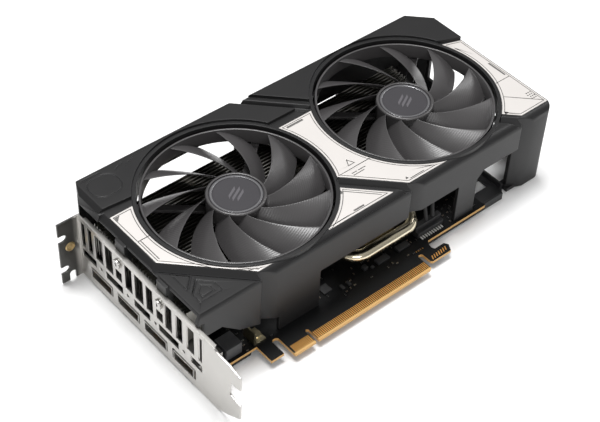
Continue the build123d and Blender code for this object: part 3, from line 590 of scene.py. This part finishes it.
def close_prism(bm, low, high):
    """Two caps and the walls between two matching rings of points."""
    low = [bm.verts.new(point) for point in low]
    high = [bm.verts.new(point) for point in high]
    bm.faces.new(low[::-1])
    bm.faces.new(high)
    for k in range(len(low)):
        j = (k + 1) % len(low)
        bm.faces.new((low[k], low[j], high[j], high[k]))


def add_prism(bm, points, z0, z1):
    """A closed prism over a plan outline, in datum millimetres."""
    close_prism(bm, [at(x, y, z0) for x, y in points], [at(x, y, z1) for x, y in points])


def add_stroke(bm, start, end, width, z0, z1):
    """A straight groove's cutter from start to end, in plan."""
    a, b = Vector(start), Vector(end)
    along = (b - a).normalized()
    side = Vector((-along.y, along.x)) * width / 2
    a, b = a - along * width / 2, b + along * width / 2
    add_prism(bm, [a - side, b - side, b + side, a + side], z0, z1)


def from_bmesh(bm, name, *materials):
    bmesh.ops.recalc_face_normals(bm, faces=bm.faces)
    mesh = bpy.data.meshes.new(name)
    bm.to_mesh(mesh)
    bm.free()
    for material in materials:
        mesh.materials.append(material)
    return link(name, mesh)


def lathe(bm, profile, centre, steps=96, closed=False):
    """Turns a profile of (radius, height) pairs, in metres, about a vertical through centre."""
    rings = []
    for radius, height in profile:
        if radius < 1e-7:
            rings.append([bm.verts.new(centre + Vector((0, 0, height)))])
            continue
        rings.append([bm.verts.new(centre + Vector((radius * math.cos(t), radius * math.sin(t), height)))
                      for t in (2 * math.pi * k / steps for k in range(steps))])
    pairs = list(zip(rings, rings[1:])) + ([(rings[-1], rings[0])] if closed else [])
    for first, second in pairs:
        for k in range(steps):
            j = (k + 1) % steps
            corners = [ring[i % len(ring)] for ring, i in ((first, k), (first, j), (second, j), (second, k))]
            corners = list(dict.fromkeys(corners))
            if len(corners) > 2:
                bm.faces.new(corners)


# ---------------- geometry node trees

def geometry_tree(name, inputs):
    tree = bpy.data.node_groups.new(name, "GeometryNodeTree")
    for label, kind, value in inputs:
        socket = tree.interface.new_socket(label, in_out="INPUT", socket_type="NodeSocket" + kind)
        if value is not None:
            socket.default_value = value
    tree.interface.new_socket("Geometry", in_out="OUTPUT", socket_type="NodeSocketGeometry")
    return tree, tree.nodes.new("NodeGroupInput"), tree.nodes.new("NodeGroupOutput")


def make_copies_tree():
    """One pattern mesh on every point, turned by the point's own turn, made real and painted."""
    tree, enter, leave = geometry_tree("copies_on_points", [
        ("Geometry", "Geometry", None), ("Pattern", "Object", None), ("Paint", "Material", None),
        ("Size", "Float", 1.0), ("Uneven", "Float", 0.0), ("Seed", "Int", 3)])
    info = node(tree, "GeometryNodeObjectInfo")
    tree.links.new(enter.outputs["Pattern"], info.inputs["Object"])
    turn = node(tree, "GeometryNodeInputNamedAttribute", data_type="FLOAT_VECTOR")
    turn.inputs["Name"].default_value = "turn"
    drift = node(tree, "FunctionNodeRandomValue", data_type="FLOAT")
    low = math_node(tree, "SUBTRACT", enter.outputs["Size"], enter.outputs["Uneven"])
    high = math_node(tree, "ADD", enter.outputs["Size"], enter.outputs["Uneven"])
    # Sockets 2 and 3 are the float Min and Max; the vector ones before them have the same names.
    tree.links.new(low, drift.inputs[2])
    tree.links.new(high, drift.inputs[3])
    tree.links.new(enter.outputs["Seed"], drift.inputs["Seed"])
    copies = node(tree, "GeometryNodeInstanceOnPoints")
    tree.links.new(enter.outputs["Geometry"], copies.inputs["Points"])
    tree.links.new(info.outputs["Geometry"], copies.inputs["Instance"])
    tree.links.new(turn.outputs["Attribute"], copies.inputs["Rotation"])
    tree.links.new(drift.outputs[1], copies.inputs["Scale"])
    real = node(tree, "GeometryNodeRealizeInstances")
    tree.links.new(copies.outputs["Instances"], real.inputs[0])
    paint = node(tree, "GeometryNodeSetMaterial")
    tree.links.new(real.outputs[0], paint.inputs["Geometry"])
    tree.links.new(enter.outputs["Paint"], paint.inputs["Material"])
    tree.links.new(paint.outputs[0], leave.inputs["Geometry"])
    return tree


COPIES = make_copies_tree()


def socket_key(tree, label):
    return next(item.identifier for item in tree.interface.items_tree
                if item.item_type == "SOCKET" and item.in_out == "INPUT" and item.name == label)


def copies(label, pattern, places, material, turns=None, size=1.0, uneven=0.0, seed=3):
    """Copies of the pattern at each place, as one plain mesh. The pattern is built about the origin."""
    mesh = bpy.data.meshes.new(label)
    mesh.from_pydata([tuple(p) for p in places], [], [])
    attribute = mesh.attributes.new("turn", "FLOAT_VECTOR", "POINT")
    for k, item in enumerate(attribute.data):
        item.vector = turns[k] if turns else (0, 0, 0)
    piece = link(label, mesh)
    modifier = piece.modifiers.new("copies", "NODES")
    modifier.node_group = COPIES
    settings = {"Pattern": pattern, "Paint": material, "Size": size, "Uneven": uneven, "Seed": seed}
    for name, value in settings.items():
        modifier[socket_key(COPIES, name)] = value
    return settle(piece)


PATTERNS = []


def pattern_from(bm, name):
    """A small mesh about the origin that copies() repeats, removed at the end."""
    piece = from_bmesh(bm, name)
    PATTERNS.append(piece)
    return piece


def join(pieces, label):
    """Joins plain meshes into one object that keeps its materials."""
    target = pieces[0]
    with bpy.context.temp_override(active_object=target, selected_editable_objects=pieces, object=target):
        bpy.ops.object.join()
    target.name = label
    target.data.name = label
    return target


# ---------------- fan leads

LEAD_RADIUS = 1.0
# Each lead's real length, then the points that its route passes, from the fan's frame to the header.
LEADS = {
    "left": (106.7, [(23.1, 53.642, 28.4), (27.6, 45.847, 28.4), (34.5, 34.0, 28.4), (45.0, 27.2, 28.4),
                     (60.0, 25.4, 28.4), (76.0, 24.8, 28.4), (90.0, 24.8, 27.6), (98.4, 24.4, 23.4),
                     (100.8, 23.4, 15.2), (101.0, 21.6, 6.0)]),
    "right": (50.3, [(116.9, 53.642, 28.4), (112.4, 45.847, 28.4), (108.4, 35.0, 28.4), (106.4, 28.0, 27.4),
                     (105.8, 24.4, 22.4), (105.5, 23.0, 14.4), (105.4, 21.6, 6.0)]),
}


def make_lead(side):
    """A fan's sleeved lead, from its frame over the fins and down into the header."""
    length, route = LEADS[side]
    curve = bpy.data.curves.new(f"lead_sleeve_{side}", "CURVE")
    curve.dimensions = "3D"
    spline = curve.splines.new("NURBS")
    spline.points.add(len(route) - 1)
    for point, place in zip(spline.points, route):
        point.co = (*at(*place), 1)
    spline.order_u = 3
    spline.use_endpoint_u = True
    spline.resolution_u = 12
    curve.bevel_depth = LEAD_RADIUS * MM
    curve.bevel_resolution = 4
    curve.use_fill_caps = True
    curve.materials.append(PAINTS["lead_black"])
    lead = link(f"lead_sleeve_{side}", curve)
    keep(lead, "card", "lead_black", f"fan_lead_{side}")


# ---------------- fans

# Blade sections from hub to ring: radius, lead angle, chord angle, drop, thickness.
STATIONS = [(13.0, -44.0, 30.0, 9.0, 1.7), (20.0, -28.5, 28.0, 9.2, 1.5), (28.0, -16.5, 25.5, 9.0, 1.3),
            (36.0, -7.8, 23.5, 8.6, 1.15), (44.4, 0.0, 21.5, 7.6, 1.0)]
BLADE_DROP_START = 1.0
RING_REACH = 44.2
RING_OUTER, RING_INNER = 44.8, 43.7
HUB_OUTER, HUB_INNER = 14.4, 12.6
BLADE_ROWS, BLADE_COLUMNS = 22, 14
BLADE_BOW = 0.18
BLADE_EDGE_THICK = 0.45
BLADE_EDGE_ROUND = 0.16
RIB_PITCH = 1.1
# The hub's disc and its mark, in metres.
LABEL_SINK, MARK_SINK = 0.00012, 0.00002
TILT_COS, TILT_SIN = 0.88, 0.47
BAR_REACH, BAR_STEP, BAR_LEAN, BAR_PITCH, BAR_HALF = 0.0042, 0.0008, 0.0010, 0.0022, 0.0006


def station_at(share):
    """Blade section at a share of the way out: radius, lead angle, chord angle, drop, thickness."""
    place = share * (len(STATIONS) - 1)
    k = min(int(place), len(STATIONS) - 2)
    t = place - k
    before, after = STATIONS[max(k - 1, 0)], STATIONS[min(k + 2, len(STATIONS) - 1)]
    result = []
    for p0, p1, p2, p3 in zip(before, STATIONS[k], STATIONS[k + 1], after):
        m1, m2 = (p2 - p0) / 2, (p3 - p1) / 2
        if k == 0:
            m1 = p2 - p1
        if k == len(STATIONS) - 2:
            m2 = p2 - p1
        result.append((2 * t**3 - 3 * t**2 + 1) * p1 + (t**3 - 2 * t**2 + t) * m1
                      + (-2 * t**3 + 3 * t**2) * p2 + (t**3 - t**2) * m2)
    return result


def blade_point(i, j, under):
    """A point on the blade's upper or under face, in metres about its axis, and its place in the rib map."""
    radius, lead, chord, drop, thick = station_at(i / BLADE_ROWS)
    middle = math.radians(lead - chord / 2)
    half = radius * math.radians(chord) / 2
    across = 1 - 2 * j / BLADE_COLUMNS
    bow = 1 - across * across
    height = -drop * (1 - across) / 2 + BLADE_BOW * half * bow
    if under:
        height -= BLADE_EDGE_THICK + (thick - BLADE_EDGE_THICK) * bow
    along = half * across
    x = radius * math.cos(middle) - along * math.sin(middle)
    y = radius * math.sin(middle) + along * math.cos(middle)
    reach = math.hypot(x, y)
    if reach > RING_REACH:
        x, y = x * RING_REACH / reach, y * RING_REACH / reach
    return Vector((x, y, height)) * MM, (j / BLADE_COLUMNS, reach / RIB_PITCH)


def blade_pattern():
    """One swept blade as a closed shell, with its chord and reach kept in a UV map for the ribs."""
    rows, columns = range(BLADE_ROWS), range(BLADE_COLUMNS)
    bm = bmesh.new()
    chord_map = bm.loops.layers.uv.new("blade")
    map_of = {}
    sheets = []
    for under in (False, True):
        sheet = []
        for i in range(BLADE_ROWS + 1):
            line = []
            for j in range(BLADE_COLUMNS + 1):
                place, spot = blade_point(i, j, under)
                line.append(bm.verts.new(place))
                map_of[line[-1]] = spot
            sheet.append(line)
        sheets.append(sheet)
    for sheet in sheets:
        for i in rows:
            for j in columns:
                bm.faces.new((sheet[i][j], sheet[i + 1][j], sheet[i + 1][j + 1], sheet[i][j + 1]))
    top, low = sheets
    for i in rows:
        for j in (0, BLADE_COLUMNS):
            bm.faces.new((top[i][j], top[i + 1][j], low[i + 1][j], low[i][j]))
    for j in columns:
        for i in (0, BLADE_ROWS):
            bm.faces.new((top[i][j], top[i][j + 1], low[i][j + 1], low[i][j]))
    for face in bm.faces:
        for loop in face.loops:
            loop[chord_map].uv = map_of[loop.vert]
    piece = pattern_from(bm, "blade_pattern")
    soften = piece.modifiers.new("soften", "BEVEL")
    soften.width = BLADE_EDGE_ROUND * MM
    soften.segments = BEVEL_SEGMENTS
    soften.limit_method = "ANGLE"
    soften.angle_limit = math.radians(50)
    return settle(piece, 40)


def in_metres(rows):
    return [(radius * MM, height * MM) for radius, height in rows]


def hub_profile(top):
    """Outer wall, rounded rim and label recess of the hub, as (radius, height) in metres."""
    base = top - 10.0
    rim, steps = 0.9, 5
    rows = [(HUB_INNER, base), (HUB_OUTER, base), (HUB_OUTER, top - 1.5)]
    for k in range(steps + 1):
        turn = math.pi / 2 * k / steps
        rows.append((HUB_OUTER - rim + rim * math.cos(turn), top - 1.3 + rim * math.sin(turn)))
    return in_metres(rows + [(13.25, top - 0.42), (13.02, top - 0.52), (12.95, top - 0.8), (12.92, top - 1.3),
                             (HUB_INNER, top - 1.32)])


def ring_profile(top):
    """Wall of the barrier ring, eased at its top edges."""
    return in_metres([(RING_INNER, top - 7.8), (RING_OUTER, top - 8.0), (RING_OUTER, top - 0.35),
                      (RING_OUTER - 0.12, top - 0.1), (RING_OUTER - 0.35, top), (RING_INNER + 0.35, top),
                      (RING_INNER + 0.1, top - 0.12), (RING_INNER, top - 0.4)])


def make_rotor(side, blade):
    body = f"fan_{side}"
    centre = Vector((FANS[side].x, FANS[side].y, 0))
    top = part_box(f"rotor_{side}")[1].z / MM
    lift = Vector((0, 0, (top - BLADE_DROP_START) * MM))
    blades = copies(f"blades_{side}", blade, [centre + lift] * BLADES, PAINTS["fan_black"],
                    turns=[(0, 0, 2 * math.pi * k / BLADES) for k in range(BLADES)])
    bm = bmesh.new()
    bm.loops.layers.uv.new("blade")
    lathe(bm, hub_profile(top), centre, closed=True)
    lathe(bm, ring_profile(top), centre, steps=180, closed=True)
    shell = from_bmesh(bm, f"hub_and_ring_{side}", PAINTS["fan_black"])
    settle(shell, 30)
    rotor = join([blades, shell], f"rotor_moulding_{side}")
    keep(rotor, body, "fan_black", f"rotor_{side}")
    make_label(side, centre, body)


def make_label(side, centre, body):
    """Glossy hub disc with a turned rim line and a plain three-bar mark."""
    low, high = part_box(f"hub_label_{side}")
    radius, top = (high.x - low.x) / 2, high.z
    bm = bmesh.new()
    profile = [(0, top - LABEL_SINK), (0.0106, top - LABEL_SINK), (0.0107, top - 0.0002),
               (0.0110, top - 0.0002), (0.0111, top - 0.00004), (radius - 0.0001, top), (radius, top - 0.0001),
               (radius, low.z), (0, low.z)]
    lathe(bm, profile, centre, steps=128)
    disc = from_bmesh(bm, f"hub_disc_{side}", PAINTS["label_black"])
    settle(disc, 30)
    keep(disc, body, "label_black", f"hub_label_{side}")
    make_mark(side, centre, body, top)


def make_mark(side, centre, body, top):
    """Three slanting bars on the hub's disc."""
    bm = bmesh.new()
    for k in (-1, 0, 1):
        reach = BAR_REACH - BAR_STEP * abs(k)
        y0, y1 = k * BAR_PITCH - BAR_HALF, k * BAR_PITCH + BAR_HALF
        corners = [(-reach - BAR_LEAN, y0), (reach - BAR_LEAN, y0), (reach + BAR_LEAN, y1),
                   (-reach + BAR_LEAN, y1)]
        turned = [centre + Vector((x * TILT_COS - y * TILT_SIN, x * TILT_SIN + y * TILT_COS, top))
                  for x, y in corners]
        close_prism(bm, [v - Vector((0, 0, LABEL_SINK)) for v in turned],
                    [v - Vector((0, 0, MARK_SINK)) for v in turned])
    paint = finish(f"hub_mark_{side}", (0.11, 0.105, 0.115), rough=0.3, grain=0.05)
    keep(from_bmesh(bm, f"hub_mark_{side}", paint), body, "label_black")


# ---------------- casing and trim

ENGRAVE_DEEP, ENGRAVE_OVER = 0.25, 1.0
STROKE_WIDE = 0.4
GROOVE_INSET, GROOVE_WIDE = 1.0, 0.34


def engraver(name, top, strokes, prisms):
    """A cutter mesh for the straight grooves and sunk marks in a face at height top."""
    bm = bmesh.new()
    low, high = top - ENGRAVE_DEEP, top + ENGRAVE_OVER
    for start, end in strokes:
        add_stroke(bm, start, end, STROKE_WIDE, low, high)
    for points in prisms:
        add_prism(bm, points, low, high)
    return from_bmesh(bm, name, GROOVE_SHADE)


def regular(x, y, radius, sides):
    turns = [2 * math.pi * k / sides for k in range(sides)]
    return [(x + radius * math.cos(turn), y + radius * math.sin(turn)) for turn in turns]


def trim_marks():
    """Engraved lines of each silver plate: (strokes, sunk prisms)."""
    dots = [regular(173.2 + 1.3 * a + 0.5 * (b % 2), 25.6 + 1.5 * b, 0.42, 8)
            for a in range(3) for b in range(4)]
    return {
        "trim_left": ([((-37.6, 66.5), (-30.0, 66.5)), ((-36.4, 52.4), (-36.4, 66.5))],
                      [[(-37.4, 84.9), (-34.6, 84.9), (-37.4, 82.1)]]),
        "trim_centre": ([((60.5, 43.4), (79.8, 43.4)), ((68.6, 45.6), (72.4, 45.6)),
                         ((72.4, 45.6), (70.5, 49.2)), ((70.5, 49.2), (68.6, 45.6)),
                         ((66.4, 40.6), (69.2, 40.6)), ((70.4, 40.6), (74.6, 40.6)),
                         ((66.4, 39.2), (72.6, 39.2)), ((86.0, 21.4), (94.4, 21.4))],
                        [[(63.0, 83.4), (73.0, 83.4), (73.0, 84.6), (63.0, 84.6)],
                         [(83.6, 22.0), (85.4, 22.0), (84.6, 23.6)]]),
        "trim_front": ([((67.6, 21.8), (55.4, 34.0))],
                       [[(52.2, 33.4), (54.6, 33.4), (54.6, 35.6)],
                        [(50.6, 21.2), (56.8, 21.2), (56.8, 22.1), (50.6, 22.1)]]),
        "trim_tail": ([((167.6, 45.0), (176.6, 45.0)), ((163.2, 35.2), (176.6, 21.8))],
                      [[(175.4, 47.0), (176.4, 47.0), (176.4, 58.6), (175.4, 58.6)],
                       [(153.8, 25.4), (156.4, 25.4), (155.1, 27.4)]] + dots),
    }


def border_groove(name):
    """The cutter for a thin line that follows a plate's outline, from the plate's own top face."""
    source = merged_copy(name, name + "_outline", whole_faces=True)
    bm = bmesh.new()
    bm.from_mesh(source.data)
    bpy.data.objects.remove(source)
    high = max(v.co.z for v in bm.verts)
    others = [f for f in bm.faces if f.normal.z < 0.9 or f.calc_center_median().z < high - 0.01 * MM]
    bmesh.ops.delete(bm, geom=others, context="FACES")
    edge = bmesh.ops.inset_region(bm, faces=bm.faces[:], thickness=GROOVE_INSET * MM, use_boundary=True,
                                  use_even_offset=True)["faces"]
    bmesh.ops.delete(bm, geom=edge, context="FACES")
    ring = bmesh.ops.inset_region(bm, faces=bm.faces[:], thickness=GROOVE_WIDE * MM, use_boundary=True,
                                  use_even_offset=True)["faces"]
    rest = [f for f in bm.faces if f not in ring]
    bmesh.ops.delete(bm, geom=rest, context="FACES")
    for v in bm.verts:
        v.co.z = high - ENGRAVE_DEEP * MM
    raised = bmesh.ops.extrude_face_region(bm, geom=bm.faces[:])["geom"]
    for v in raised:
        if isinstance(v, bmesh.types.BMVert):
            v.co.z = high + ENGRAVE_OVER * MM
    return from_bmesh(bm, name + "_groove", GROOVE_SHADE)


def make_casing():
    for side in ("corner", "left", "right", "tail"):
        refine(f"shroud_{side}", f"casing_{side}", round_mm=0.22)
    for name, (strokes, prisms) in trim_marks().items():
        marks = engraver(name + "_marks", span_mm(name)[1].z, strokes, prisms)
        cutter = join([border_groove(name), marks], name + "_cutter")
        refine(name, name.replace("trim", "plate"), round_mm=0.2, cutter=cutter)


# ---------------- small repeated parts

def islands(name):
    """Lowest and highest datum corner of each separate solid in a node."""
    bm = bmesh.new()
    bm.from_mesh(frame["nodes"][name].data)
    bmesh.ops.remove_doubles(bm, verts=bm.verts, dist=WELD)
    bm.verts.index_update()
    seen, boxes = set(), []
    for start in bm.verts:
        if start.index in seen:
            continue
        seen.add(start.index)
        stack, group = [start], []
        while stack:
            vert = stack.pop()
            group.append(place_mm(vert.co))
            for edge in vert.link_edges:
                other = edge.other_vert(vert)
                if other.index not in seen:
                    seen.add(other.index)
                    stack.append(other)
        boxes.append(tuple(tuple(pick(g[i] for g in group) for i in range(3)) for pick in (min, max)))
    bm.free()
    return sorted(boxes)


def box_pattern(name, *boxes):
    """A pattern of boxes given as (low, high) millimetre corners about its own origin."""
    bm = bmesh.new()
    for low, high in boxes:
        low, high = Vector(low) * MM, Vector(high) * MM
        matrix = Matrix.Translation((low + high) / 2) @ Matrix.Diagonal((*(high - low), 1))
        bmesh.ops.create_cube(bm, size=1.0, matrix=matrix)
    return pattern_from(bm, name)


CROSS_TAPER, CROSS_OVER = 0.72, 0.4
# Node, finished name, side that the heads face, reach and depth of the cross.
SCREWS = (
    ("bracket_screws", "bracket_screw_heads", "-x", 1.3, 0.7),
    ("backplate_screws", "back_screw_heads", "-z", 1.1, 0.6),
    ("fan_screws_left", "mount_screws_left", "+z", 1.1, 0.8),
    ("fan_screws_right", "mount_screws_right", "+z", 1.1, 0.8),
)


def cross_pattern(reach, deep):
    """The driver's cross recess, as one solid plus sign reaching deep below and a little above."""
    bm = bmesh.new()
    wide = reach * 0.2
    outline = [(wide, reach), (-wide, reach), (-wide, wide), (-reach, wide), (-reach, -wide), (-wide, -wide),
               (-wide, -reach), (wide, -reach), (wide, -wide), (reach, -wide), (reach, wide), (wide, wide)]
    close_prism(bm, [Vector((x * CROSS_TAPER, y * CROSS_TAPER, -deep)) * MM for x, y in outline],
                [Vector((x, y, CROSS_OVER)) * MM for x, y in outline])
    return pattern_from(bm, "cross_pattern")


def recessed_screws(name, label, axis, reach, deep):
    """Screws with a cross cut into each head; axis is the side the heads face."""
    turns = {"+z": (0, 0, 0.6), "-z": (math.pi, 0, 0.6), "-x": (0.5, -math.pi / 2, 0)}
    places = []
    for low, high in islands(name):
        x, y, z = ((a + b) / 2 for a, b in zip(low, high))
        places.append({"+z": at(x, y, high[2]), "-z": at(x, y, low[2]), "-x": at(low[0], y, z)}[axis])
    cross = cross_pattern(reach, deep)
    cutter = copies(label + "_cutter", cross, places, GROOVE_SHADE, [turns[axis]] * len(places))
    refine(name, label, round_mm=0.15, cutter=cutter)


SMD_SEED = 11
SMD_TRIES = 12
SMD_SPACING = 1.6
SMD_NEIGHBOURS = ("small_chips", "power_inductors", "mounting_lug", "fan_header", "memory_chips",
                  "power_transistors", "capacitors", "fan_header_pins")
# Strips of bare board that show: low and high x, low and high y, and how many parts.
SMD_STRIPS = ((-17, -2, 15.2, 27, 8), (40, 62, 12.6, 15.2, 5), (66, 92, 12.0, 15.0, 6),
              (14, 92, 17.5, 30, 34), (111, 134, 16.0, 30, 26), (-41, -30, 15.6, 17.4, 3))


def smd_places():
    """Spots for the small two-ended parts on the board strips that show, clear of everything bigger."""
    pick = random.Random(SMD_SEED)
    taken = [box for name in SMD_NEIGHBOURS for box in islands(name)]
    spots = []
    for x0, x1, y0, y1, count in SMD_STRIPS:
        for _ in range(count * SMD_TRIES):
            if not count:
                break
            x, y = pick.uniform(x0, x1), pick.uniform(y0, y1)
            turn = pick.choice((0, math.pi / 2))
            free = all(x < low[0] - 1 or x > high[0] + 1 or y < low[1] - 1 or y > high[1] + 1
                       for low, high in taken)
            if free and all(abs(x - a) > SMD_SPACING or abs(y - b) > SMD_SPACING for a, b, _turn in spots):
                spots.append((x, y, turn))
                count -= 1
    return spots


def make_smd():
    """Ceramic capacitors and resistors, each a body between two soldered ends."""
    spots = smd_places()
    ends = box_pattern("ends_pattern", ((-0.55, -0.28, 0), (-0.3, 0.28, 0.42)),
                       ((0.3, -0.28, 0), (0.55, 0.28, 0.42)))
    tall = box_pattern("ceramic_pattern", ((-0.3, -0.26, 0), (0.3, 0.26, 0.4)))
    flat = box_pattern("resistor_pattern", ((-0.3, -0.26, 0), (0.3, 0.26, 0.3)))
    groups = (("smd_ends", ends, spots, SOLDER), ("smd_ceramics", tall, spots[::2], CERAMIC),
              ("smd_resistors", flat, spots[1::2], RESISTOR))
    for label, pattern, chosen, paint in groups:
        piece = copies(label, pattern, [at(x, y, 0.0) for x, y, _turn in chosen], paint,
                       [(0, 0, turn) for _x, _y, turn in chosen], size=0.95)
        keep(piece, "card", "chip")


def make_edge_contacts():
    """The gilt fingers along the edge, on both faces, each a thin pad."""
    finger = box_pattern("finger_pattern", ((-0.27, -2.1, -0.025), (0.27, 2.1, 0.03)))
    places = [at(*((a + b) / 2 for a, b in zip(low, high))) for low, high in islands("edge_contacts")]
    keep(copies("contact_fingers", finger, places, PAINTS["gold"]), "card", "gold", "edge_contacts")


def make_hub_rims():
    """A bright turned ring set in each hub's disc."""
    inner, outer, ease, deep = 0.01135, 0.0123, 0.00005, 0.0003
    for side in FANS:
        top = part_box(f"hub_label_{side}")[1].z
        bm = bmesh.new()
        lathe(bm, [(inner, top - deep), (inner, top - ease), (0.01145, top), (0.0122, top), (outer, top - ease),
                   (outer, top - deep)], Vector((FANS[side].x, FANS[side].y, 0)), steps=128, closed=True)
        rim = from_bmesh(bm, f"hub_rim_{side}", RIM_METAL)
        settle(rim, 25)
        keep(rim, f"fan_{side}", "label_black")


def make_tab_boss():
    """The gilt ring and head that show on the near face of the folded mounting tab."""
    low, high = islands("tab_screw")[0]
    face = at((low[0] + high[0]) / 2, low[1] - TAB_THICK, (low[2] + high[2]) / 2)
    profile = [(0, 0.5), (0.9, 0.5), (1.1, 0.2), (1.7, 0.2), (1.9, 0.6), (2.3, 0.6), (2.6, 0.1), (2.6, -0.2),
               (0, -0.2)]
    bm = bmesh.new()
    lathe(bm, in_metres(profile), Vector((0, 0, 0)), steps=64)
    upright = Matrix.Translation(face) @ Matrix.Rotation(math.pi / 2, 4, "X")
    bmesh.ops.transform(bm, matrix=upright, verts=bm.verts)
    boss = from_bmesh(bm, "tab_boss", PAINTS["bronze"])
    settle(boss, 25)
    keep(boss, "card", "bronze")


def make_tongue_contacts():
    """Gilt contact strips on both faces of every socket tongue."""
    pitch, margin, setback = 0.62, 1.2, 0.5
    strip = box_pattern("strip_pattern", ((0, -0.17, -0.03), (6.0, 0.17, 0.03)))
    places = []
    for low, high in islands("socket_tongues"):
        count = int((high[1] - low[1] - margin) / pitch)
        start = (low[1] + high[1]) / 2 - pitch * (count - 1) / 2
        places += [at(low[0] + setback, start + pitch * k, z) for k in range(count) for z in (low[2], high[2])]
    keep(copies("tongue_contacts", strip, places, PAINTS["gold"]), "card", "gold")


def make_board_marks():
    """Plain gilt strokes on the keeper hook, and a few gilt test pads near it."""
    pad = box_pattern("pad_pattern", ((-0.35, -0.35, -0.005), (0.35, 0.35, 0.02)))
    bar = box_pattern("bar_pattern", ((-1.25, -0.3, -0.005), (1.25, 0.3, 0.02)))
    pads = [at(86.5 + 1.4 * k, 12.4, 0) for k in range(4)]
    bars = [at(90.2 + 1.55 * k, 4.9 + 0.12 * k, 0) for k in range(7)]
    gold = PAINTS["gold"]
    keep(copies("test_pads", pad, pads, gold, size=0.8, uneven=0.2, seed=5), "card", "gold")
    keep(copies("hook_strokes", bar, bars, gold, [(0, 0, 1.1)] * len(bars)), "card", "gold")


# ---------------- everything else

# Node: finished name and how far its edges are rounded, in millimetres.
REFINED = {
    "slot_bracket": ("bracket_plate", 0.12), "backplate": ("back_panel", 0.15),
    "power_socket": ("power_housing", 0.2), "fan_header": ("header_housing", 0.15),
    "power_inductors": ("inductor_bodies", 0.35), "memory_chips": ("memory_packages", 0.1),
    "power_transistors": ("transistor_bodies", 0.08), "small_chips": ("chip_bodies", 0.1),
    "video_socket": ("video_shell", 0.15), "display_socket_1": ("display_shell_1", 0.15),
    "display_socket_2": ("display_shell_2", 0.15), "display_socket_3": ("display_shell_3", 0.15),
    "socket_tongues": ("socket_tongue_bars", 0.15), "capacitors": ("capacitor_cans", 0.3),
    "motor_mount_left": ("fan_frame_left", 0.2), "motor_mount_right": ("fan_frame_right", 0.2),
    "heatpipe_front_outer": ("pipe_front_outer", 0.4), "heatpipe_front_inner": ("pipe_front_inner", 0.4),
    "heatpipe_back_outer": ("pipe_back_outer", 0.4), "heatpipe_back_inner": ("pipe_back_inner", 0.4),
    "tab_screw": ("tab_rivet", 0.2), "retention_plate": ("spring_plate", 0.12),
    "cold_plate": ("base_plate", 0.2), "circuit_board": ("board", 0.0),
}

make_camera()
for side in LEADS:
    make_lead(side)
make_studio()
make_casing()
blade = blade_pattern()
for side in FANS:
    make_rotor(side, blade)
for name, (label, rounding) in REFINED.items():
    refine(name, label, round_mm=rounding)
refine("mounting_lug", "board_lug", round_mm=0.12, paint=LUG_BRASS)
for row in SCREWS:
    recessed_screws(*row)
make_edge_contacts()
make_hub_rims()
make_tab_boss()
make_smd()
make_tongue_contacts()
make_board_marks()
stood_for = {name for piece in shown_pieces() for name in piece.get("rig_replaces", [])}
for name in frame["nodes"]:
    if name not in stood_for:
        repaint(name)
for piece in PATTERNS:
    bpy.data.objects.remove(piece)
